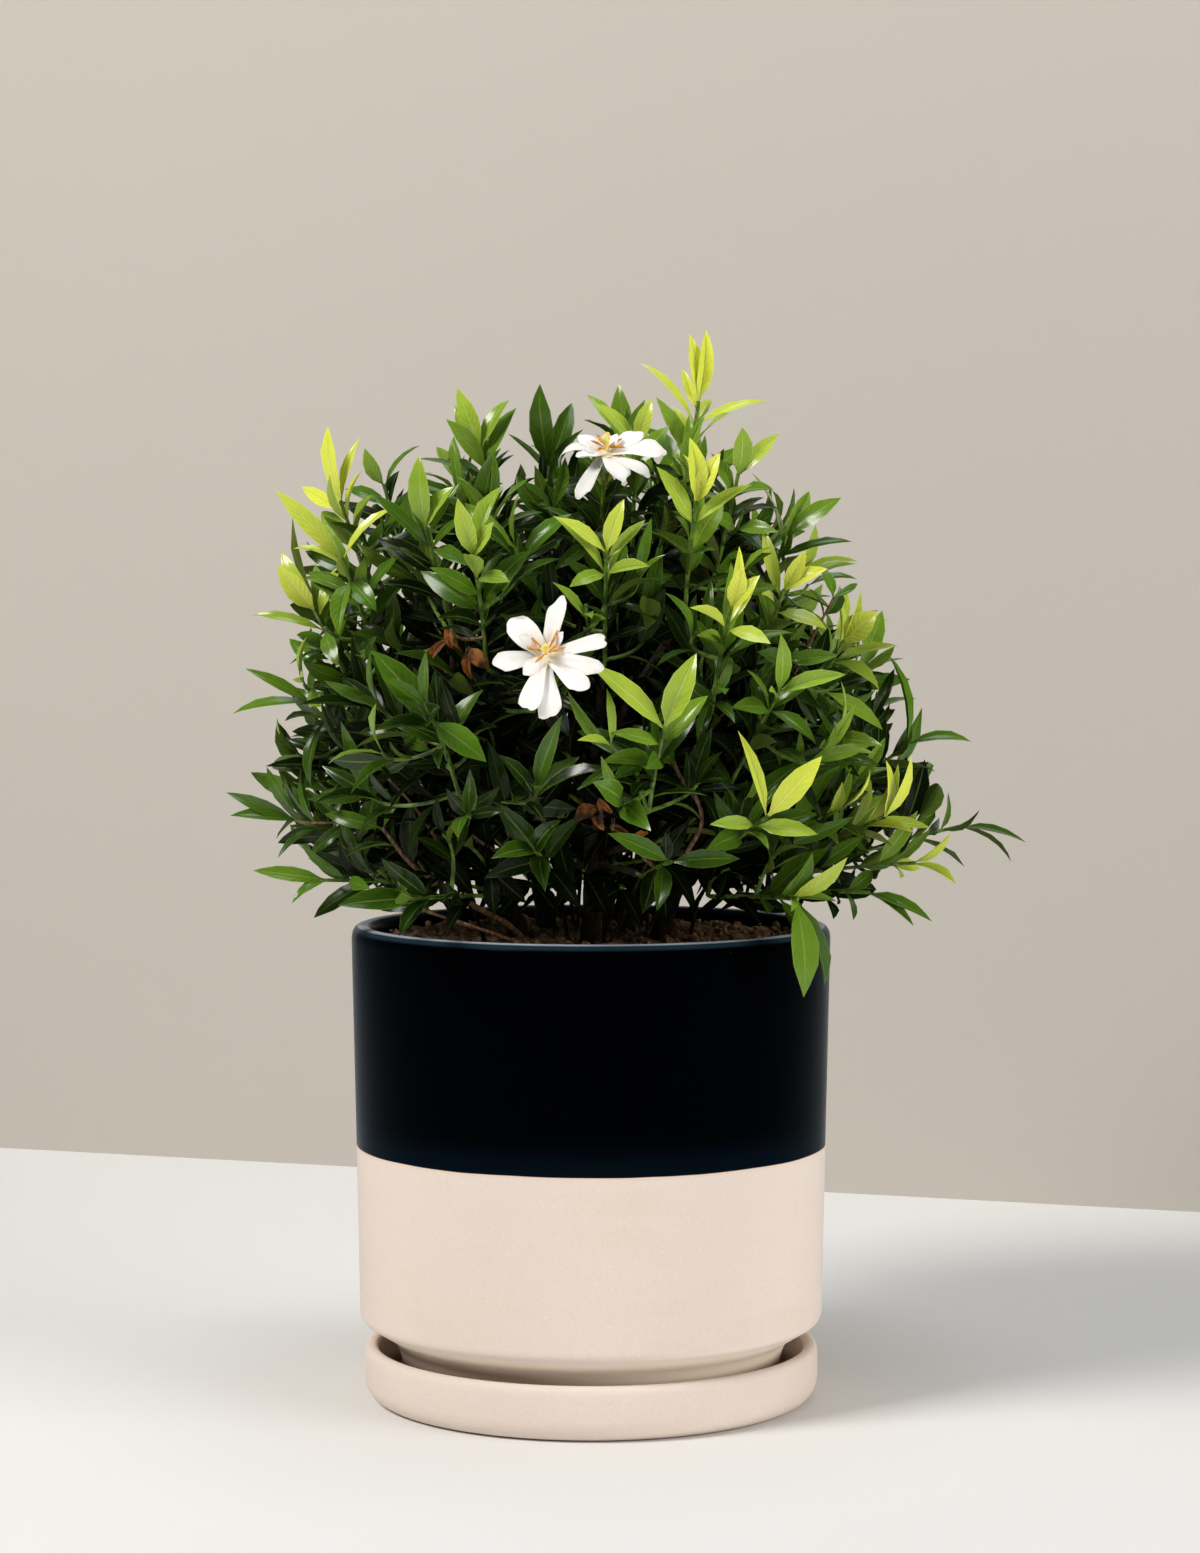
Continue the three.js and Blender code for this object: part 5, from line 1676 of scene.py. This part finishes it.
# %% Bending a form along blades
def bent(form, leaves, thickness=0.45):
    """The form's points on each blade, in millimetres."""
    x, y, z = form["points"].T

    def of(key):
        return np.array([leaf[key] for leaf in leaves])

    turn = of("arch")[:, None] * y + of("curl")[:, None] * y**3
    steps = of("length")[:, None] * y
    share = np.where(turn > 1e-6, np.sin(turn) / np.maximum(turn, 1e-6), 1)
    back = np.where(turn > 1e-6, (1 - np.cos(turn)) / np.maximum(turn, 1e-6), 0)
    way, face = of("way")[:, None], of("face")[:, None]
    side = np.cross(of("way"), of("face"))[:, None]
    middle = of("root")[:, None] + (steps * share)[..., None] * way - (steps * back)[..., None] * face
    face_here = face * np.cos(turn)[..., None] + way * np.sin(turn)[..., None]
    spin = (of("twist")[:, None] * y)[..., None]
    side_here = side * np.cos(spin) + face_here * np.sin(spin)
    face_here = face_here * np.cos(spin) - side * np.sin(spin)
    half, fold = of("half")[:, None], of("fold")[:, None]
    wave = of("wave")[:, None] * np.sin(y * 9 + of("phase")[:, None] + (x > 0) * 2.2) * np.abs(x) * half
    lift = np.abs(x) * half * np.sin(fold) + wave + z * thickness
    return middle + (x * half * np.cos(fold))[..., None] * side_here + lift[..., None] * face_here


# %% Habit: fold, twist, wave, curl and a difference in colour
def add_habit(leaf, k, j, fold, wave):
    """How one leaf differs from the plain blade."""
    leaf["fold"] = fold * (0.3 + 1.3 * draw(k, j, 71))
    leaf["twist"] = 0.5 * (draw(k, j, 72) - 0.5)
    leaf["wave"] = wave * draw(k, j, 73)
    leaf["phase"] = 6.3 * draw(k, j, 74)
    leaf["curl"] = 0.25 * (draw(k, j, 75) - 0.3)
    leaf["differs"] = draw(k, j, 76)


def leaf_mesh(name, leaves):
    numbers = {key: [leaf[key] for leaf in leaves] for key in ("fresh", "differs", "outer")}
    return copies(name, LEAF_FORM, bent(LEAF_FORM, leaves), LEAF_FINISH, numbers)


# %% [markdown]
# ## Leafy stems
#
# Each of these pieces stands for one solid: a green stem with its leaves. The top leaves are the
# freshest, and those that hang are older. Those deep in the crown are older and also darker as
# painted shade. How far out a leaf is, is measured against the reach of the crown in its own
# direction.

# %% The age of leaves
AGE_BASE, AGE_SHARE, AGE_PER_MM, AGE_HANGING, AGE_AND_SHADE_DEEP = 0.14, 0.9, 0.02, 0.4, 0.4
# how far out a leaf is sets how much painted shade it gets, and its gloss
OUTER_EDGE, OUTER_FALL, OUTER_LEAST = 1.15, 4.2, 0.02
LEAF_FOLD, LEAF_WAVE = 0.42, 0.16


def within(value, least, most):
    return min(max(value, least), most)


def ready(s, k, leaves):
    """Gives every leaf of a shoot its habit, its age and how far out it is."""
    for j, leaf in enumerate(leaves):
        add_habit(leaf, k, j, LEAF_FOLD, LEAF_WAVE)
        from_tip = np.linalg.norm(leaf["root"] - s["tip"])
        way_out = leaf["root"] - CROWN_CENTRE
        depth = 1 - np.linalg.norm(way_out) / crown_reach(unit(way_out))
        hanging = max(-leaf["way"][2], 0)
        young = AGE_BASE + s["age"] * AGE_SHARE - AGE_PER_MM * from_tip - AGE_HANGING * hanging
        oldest = 0.1 + 0.3 * draw(k, j, 77)
        # age and painted shade: the deeper in the crown, the darker the leaf
        leaf["fresh"] = within(max(young, oldest) - AGE_AND_SHADE_DEEP * depth, 0, 1)
        leaf["outer"] = within(OUTER_EDGE - OUTER_FALL * depth, OUTER_LEAST, 1)
    return leaves


# %% Leafy stems, one for each solid
SLIMNESS = 0.64  # the solids' green stems are a little thicker, so that they hold
YOUNG_FROM = 0.65
for k, s in enumerate(shoots):
    leaves = ready(s, k, s["grown"] + s["fine"])
    line = rounded(s["line"], 3)
    radii = thinning(len(line), *np.array(SHOOT_RADII) * SLIMNESS, k + 300)
    stem = stem_bodies(f"stem_{k + 1:02d}", [(line, radii)], GREEN_STEM_FINISH)
    piece = leaf_mesh(f"leafy_stem_{k + 1:02d}_fine", leaves)
    join(piece, stem)
    green = "young_leaf" if s["age"] > YOUNG_FROM else "mature_leaf"
    hand_in(piece, green, f"leafy_stem_{k + 1:02d}")

# %% [markdown]
# ## Side shoots and twigs
#
# The further shoots stand for no solid, so they are gathered into a few pieces: eight sectors of
# the crown, which keeps each piece well below the most triangles that a piece may have. The brown
# twigs and branches are one piece each.

# %% Side shoots, in eight sectors of the crown
SECTORS = 8
SIDE_STEM_RADII, TWIG_RADII = (0.9, 0.65), (0.95, 0.55)


def sector_of(s):
    """Which eighth of the circle round the pot's axis a shoot's tip is in."""
    turns = math.atan2(s["tip"][1], s["tip"][0]) / (2 * math.pi) + 1
    return int(turns * SECTORS) % SECTORS


def side_routes(stems, body, radii, seed):
    """Smooth routes of those numbered stems that have the given body."""
    mine = [(k + seed, rounded(s["line"], 2)) for k, s in stems if s["body"] == body]
    return [(line, thinning(len(line), *radii, k)) for k, line in mine]


for sector in range(SECTORS):
    mine = [(k, s) for k, s in enumerate(side_shoots) if sector_of(s) == sector]
    leaves = [leaf for k, s in mine for leaf in ready(s, k + 600, s["fine"])]
    routes = side_routes(mine, "green", SIDE_STEM_RADII, 700)
    stem = stem_bodies(f"side_stems_{sector}", routes, GREEN_STEM_FINISH)
    piece = leaf_mesh(f"side_shoots_{sector + 1}", leaves)
    join(piece, stem)
    hand_in(piece, "mature_leaf")

# %% Brown twigs and branches
routes = side_routes(enumerate(side_shoots), "bark", TWIG_RADII, 900)
hand_in(stem_bodies("thin_twigs", routes, SHADED_BARK_FINISH), "bark")
routes = []
for n, (line, radii) in enumerate(branch_routes):
    line = rounded(line, 5)
    routes.append((line, thinning(len(line), *radii, n + 950, 0.3)))
hand_in(stem_bodies("brown_branches", routes, TWIG_FINISH, 2), "bark")

# %% [markdown]
# ## Blooms
#
# A gardenia's corolla is a green-white tube that opens into waxy petals, which lie nearly flat
# and differ from each other: some round, some with a cut or notched end. Each petal is the same
# thin closed sheet, bent to its own length, width and end. Small green sepals clasp the tube's
# foot. The petals are finer than those of the plan, so they have a list of their own.

# %% Petals
PETAL_FORM = sheet_form("petal_form", 8, np.linspace(0, 1, 11), [1.0] * 11)
PETAL_BASE, PETAL_FLATNESS, PETAL_THICKNESS = 1.2, 0.28, 0.6
PETAL_LENGTH_SHARE, PETAL_WIDTH_SHARE = 0.95, 0.93  # of the listed sizes
# angle, length, width, rise; share of the width at the base, where it is widest, how square its
# end is, its notch, its ripple, how much further one side reaches, and how its end curls over
FINE_PETALS = [
    [
        (13, 24, 6.8, 8, 0.7, 0.9, 8.0, 0.3, 0.06, 0.0, 0.0),
        (77, 23.5, 7.6, 10, 0.7, 0.78, 2.2, 0.0, 0.08, 0.1, 0.0),
        (137, 19.5, 12.5, 16, 0.5, 0.6, 3.0, 0.05, 0.16, 0.0, 0.25),
        (193, 20.5, 8.8, 8, 0.55, 0.8, 2.6, 0.0, 0.06, 0.04, 0.0),
        (227, 12, 6.2, 14, 0.7, 0.7, 2.5, 0.0, 0.08, 0.0, 0.0),
        (253, 24.5, 9.4, 4, 0.38, 0.92, 7.0, 0.25, 0.12, -0.02, 0.0),
        (274, 26, 9.8, 2, 0.38, 0.93, 8.0, 0.16, 0.08, 0.06, 0.0),
        (314, 21.5, 9.2, 8, 0.5, 0.86, 4.5, 0.0, 0.1, -0.05, 0.0),
        (340, 22.5, 7.4, 6, 0.65, 0.8, 4.5, 0.0, 0.07, -0.08, 0.0),
        (52, 10.5, 4.4, 24, 0.8, 0.6, 2.0, 0.0, 0.1, 0.0, 0.0),
        (148, 12, 6, 26, 0.6, 0.6, 2.5, 0.0, 0.1, 0.0, 0.0),
    ],
    [
        (20, 25, 12, 4, 0.55, 0.75, 3.0, 0.0, 0.12, 0.0, 0.1),
        (55, 20, 10, 14, 0.6, 0.75, 2.5, 0.0, 0.1, 0.0, 0.0),
        (308, 19.5, 11, -8, 0.6, 0.7, 3.0, 0.0, 0.1, 0.08, 0.0),
        (250, 23, 8, -40, 0.6, 0.8, 3.5, 0.0, 0.08, 0.05, 0.0),
        (178, 23.5, 7.5, 6, 0.6, 0.7, 2.5, 0.0, 0.1, 0.0, 1.2),
        (150, 15.5, 8, 8, 0.6, 0.7, 2.5, 0.0, 0.12, 0.0, 0.0),
        (222, 13, 8.5, 4, 0.6, 0.7, 2.5, 0.0, 0.1, 0.0, 0.0),
        (340, 22, 8, -2, 0.6, 0.8, 3.0, 0.0, 0.1, 0.0, 0.2),
        (98, 13, 7, 16, 0.6, 0.7, 2.5, 0.0, 0.1, 0.0, 0.3),
        (70, 9, 4, 40, 0.7, 0.6, 2.5, 0.0, 0.1, 0.0, 0.0),
        (200, 9, 4.5, 20, 0.7, 0.6, 2.5, 0.0, 0.1, 0.0, 0.0),
    ],
]


# %% Bending a petal
def petal_points(bloom, plan, seed):
    """The points of one petal: the sheet's, shaped to its outline, arched, rippled and twisted."""
    angle, length, width, rise, base, widest, square, notch, ripple, cut, curl = plan
    length, width = length * PETAL_LENGTH_SHARE, width * PETAL_WIDTH_SHARE
    out = -1.6 + 0.5 * (seed % 3)
    petal = bloom.blade(angle, rise, PETAL_BASE, out, length, width, PETAL_FLATNESS)
    x, y, z = PETAL_FORM["points"].T
    spread = np.clip(y / widest, 0, 1)
    broad = base + (1 - base) * (3 * spread**2 - 2 * spread**3)
    fall = np.clip((y - widest) / (1.03 - widest), 0, 1)
    half = petal["half"] * (broad * np.maximum(1 - fall**square, 0) ** 0.5)
    reach = y * (1 - 0.08 * x * x * y + cut * x * y * y)
    reach = reach - notch * np.exp(-((x / 0.3) ** 2)) * np.clip(y - 0.8, 0, 1)
    turn = (petal["arch"] + curl * reach**2) * reach + 1e-6
    ahead = petal["length"] * reach * np.sin(turn) / turn
    back = petal["length"] * reach * (1 - np.cos(turn)) / turn
    ripples = ripple * petal["half"] * np.sin(5 * x + 7 * y + seed) * y * (0.3 + x * x)
    midrib = 0.3 * np.exp(-((x / 0.12) ** 2)) * (1 - y)
    lift = 0.14 * half * x * x + ripples - midrib + z * PETAL_THICKNESS
    side = np.cross(petal["way"], petal["face"])
    spin = 0.2 * math.sin(seed * 2.1) * y
    here = side * np.cos(spin)[:, None] + petal["face"] * np.sin(spin)[:, None]
    body = petal["root"] + ahead[:, None] * petal["way"] - back[:, None] * petal["face"]
    return body + (x * half)[:, None] * here + lift[:, None] * petal["face"]


# %% Corollas, each with its tube and its sepals
TUBE = {-TUBE_LENGTH: 1.6, -11: 1.7, -7: 1.9, -4: 2.3, -2: 3.0, -0.6: 3.9}  # radius at each depth
CUP = {-TUBE_LENGTH + 0.1: 1.9, -13: 2.6, -10.5: 2.7, -9: 2.2}


def tube_route(bloom, radii):
    return [bloom.at(0, 0, out) for out in radii], list(radii.values())


def sepals(bloom):
    made = []
    for k in range(6):
        sepal = bloom.blade(60 * k + 25, 62, 2.2, -TUBE_LENGTH + 1, 13, 2.6, 0.5)
        add_habit(sepal, k, 5, 0.3, 0.0)
        sepal["fresh"], sepal["outer"] = 0.7, 1.0
        made.append(sepal)
    return made


for i, bloom in enumerate(blooms):
    points = [petal_points(bloom, plan, k + 20 * i) for k, plan in enumerate(FINE_PETALS[i])]
    piece = copies(f"bloom_{i + 1}_corolla", PETAL_FORM, np.array(points), PETAL_FINISH, {})
    tube = stem_bodies(f"tube_{i}", [tube_route(bloom, TUBE)], PETAL_FINISH, 4)
    cup = stem_bodies(f"cup_{i}", [tube_route(bloom, CUP)], CALYX_FINISH, 4)
    join(piece, tube, cup, leaf_mesh(f"sepals_{i}", sepals(bloom)))
    hand_in(piece, "petal", f"bloom_{i + 1}_petals")

# %% [markdown]
# ## Anthers and stigma
#
# Six orange anthers lie between the petals, thin at both ends, and each bends a little aside. The
# stigma is a thick yellow club in the middle. Both are round stems with many radii. A little
# noise along the stigma's own directions makes its surface uneven.

# %% Anthers: angle and length
ANTHERS = [(5, 6.5), (56, 9), (131, 10.5), (165, 6.8), (236, 4.8), (22, 4.5)]
ANTHER_RADII = [0.25, 0.25, 0.35, 0.5, 0.55, 0.5, 0.4, 0.15]


def anther_line(bloom, angle, length, bend):
    a = math.radians(angle)
    way = bloom.across * math.cos(a) + bloom.up * math.sin(a)
    bow = bloom.across * -math.sin(a) + bloom.up * math.cos(a)
    line = []
    for t in np.linspace(0, 1, len(ANTHER_RADII)):
        rising = 1.5 + 2.6 * t - 2.2 * t * t
        line.append(bloom.at(0, 0, rising) + way * (1.0 + length * t) + bow * bend * t * t * 3)
    return line


# %% Anthers and stigma of each bloom
STIGMA_RADII = [0.6, 0.7, 0.8, 1.1, 1.45, 1.6, 1.5, 1.1, 0.5]
STIGMA_RELIEF = 0.35 * MM
for i, bloom in enumerate(blooms):
    bends = [1.4 * (draw(i, k) - 0.5) for k in range(len(ANTHERS))]
    routes = [(anther_line(bloom, *a, bend), ANTHER_RADII) for a, bend in zip(ANTHERS, bends)]
    piece = stem_bodies(f"bloom_{i + 1}_anthers", routes, ANTHER_FINISH, 3)
    hand_in(piece, "anther", f"bloom_{i + 1}_stamens")
    line = [bloom.at(0.3 * math.sin(j), 0.2 * j * (0.1 + i * 0.1), 0.4 + j) for j in range(9)]
    stigma = stem_bodies(f"bloom_{i + 1}_stigma", [(line, STIGMA_RADII)], STIGMA_FINISH, 4)
    for v in stigma.data.vertices:
        v.co += v.normal * STIGMA_RELIEF * noise.noise(v.co * 900)
    hand_in(stigma, "stigma", f"bloom_{i + 1}_pistil")

# %% [markdown]
# ## Dead leaves
#
# A few dead leaves hang inside the crown. They are copies of the same leaf form, folded hard,
# wavy and curled over. Three of them stand for the solid's, on a short twig of a planned branch.


# %% The dead leaves of the solids, on a twig of the seventh shoot's branch
branch = shoots[6]["woody"]
outward = unit(branch[2] * [1, 1, 0])
d = along(branch, 2)
side = unit(outward - d * (outward @ d))
start = branch[2] + side * (0.75 * BRANCH_RADII[0] + GAP)
twig = [start + side * far for far in (0, 3, 7)]
for n, turn in enumerate((-50, 5, 60)):
    chord = turn_about(side * 0.6 - UP * 0.8, side, math.radians(turn)) * 21
    dead_leaves.append(dead(twig[2] - side, chord, 7, n + 90))
print(len(dead_leaves), "dead leaves in all")

# %% All dead leaves in one piece
DEAD_FOLD, DEAD_WAVE, DEAD_THICKNESS = 0.9, 0.5, 0.5
for leaf in dead_leaves:
    add_habit(leaf, leaf["seed"], 3, DEAD_FOLD, DEAD_WAVE)
    leaf["curl"] = 0.6 + 0.6 * draw(leaf["seed"], 4)
points = bent(LEAF_FORM, dead_leaves, DEAD_THICKNESS)
piece = copies("dead_leaves", LEAF_FORM, points, DEAD_FINISH, {})
routes = [(twig, [1, 0.9, 0.8])]
routes += [(rounded(line, 2), thinning(13, 0.9, 0.6, 980)) for line in dead_twigs]
join(piece, stem_bodies("dead_twig", routes, TWIG_FINISH))
hand_in(piece, "dry_leaf", "dried_leaves_1")

# %% [markdown]
# ## The room
#
# The pot stands on a pale floor, in front of a plain warm wall that runs a little askew. The
# wall is seen from its front only, so that the plant can be looked at from behind. For that, a
# transparent shader takes over on the back of its face.


# %% Paint
def plain_finish(name, colour, rough, one_sided=False):
    f = Finish(name)
    clouds = f.grain(f.place(), 3.0, 3.0)
    tone = f.mix(clouds.ease(0.3, 0.7) * 0.05, colour, tuple(c * 0.9 for c in colour))
    shader = f.node("BsdfPrincipled", sockets={"Base Color": tone, "Roughness": rough})
    if one_sided:
        behind = f.node("NewGeometry", out="Backfacing")
        shader = f.node("MixShader", sockets={0: behind, 1: shader, 2: f.node("BsdfTransparent")})
    return f.surface(shader)


FLOOR_FINISH = plain_finish("floor_paint", (0.815, 0.81, 0.795), 0.7)
WALL_FINISH = plain_finish("wall_paint", (0.49, 0.455, 0.405), 0.9, one_sided=True)

# %% Floor and wall
bpy.ops.object.select_all(action="DESELECT")
bpy.ops.mesh.primitive_plane_add(size=12)
floor = bpy.context.object
floor.name = "floor"
paint(floor, FLOOR_FINISH)

WALL_LEFT, WALL_RIGHT, WALL_HEIGHT, WALL_SPARE = vec(-356.6, 681), vec(328.6, 449.7), 1.1, 90
run = unit(WALL_RIGHT - WALL_LEFT)
ends = [WALL_LEFT - run * WALL_SPARE, WALL_RIGHT + run * WALL_SPARE]
corners = [(*(p * MM), z) for z in (0, WALL_HEIGHT) for p in ends]
wall = from_points("wall", corners, (), [(0, 1, 3, 2)])
paint(wall, WALL_FINISH)


# %% [markdown]
# ## Light
#
# A soft key light comes from the upper left and a little from the front, and throws the shadow
# to the right. A wide weak one fills the right side without a glint in the glaze. One from above
# lights the crown, one from behind the edges of its leaves, and a faint world does the rest.

# %% Lights: name, place, height of what it looks at, size, power, colour, whether it glints
LIGHTS = [
    ("key_light", (-1.5, -1.05, 1.75), 0.15, 0.8, 50, (1.0, 0.97, 0.93), True),
    ("fill_light", (2.3, -1.35, 0.8), 0.15, 1.8, 55, (1.0, 0.99, 0.97), False),
    ("top_light", (0.1, -0.1, 2.4), 0.2, 1.1, 16, (0.9, 0.95, 1.0), True),
    ("back_light", (0.8, 2.6, 1.5), 0.25, 1.2, 14, (1.0, 1.0, 1.0), False),
]
WORLD_COLOUR, WORLD_STRENGTH = (0.97, 0.98, 1.0, 1), 0.06
for name, place, aim, size, power, colour, glints in LIGHTS:
    bpy.ops.object.light_add(type="AREA", location=place)
    light = bpy.context.object
    light.name = name
    light.data.size, light.data.energy, light.data.color = size, power, colour
    to_plant = Vector((0, 0, aim)) - Vector(place)
    light.rotation_euler = to_plant.to_track_quat("-Z", "Y").to_euler()
    light.visible_camera, light.visible_glossy = False, glints
world = bpy.data.worlds.new("studio")
bpy.context.scene.world = world
world.use_nodes = True
background = world.node_tree.nodes["Background"]
background.inputs["Color"].default_value = WORLD_COLOUR
background.inputs["Strength"].default_value = WORLD_STRENGTH
print("lights", [light[0] for light in LIGHTS])
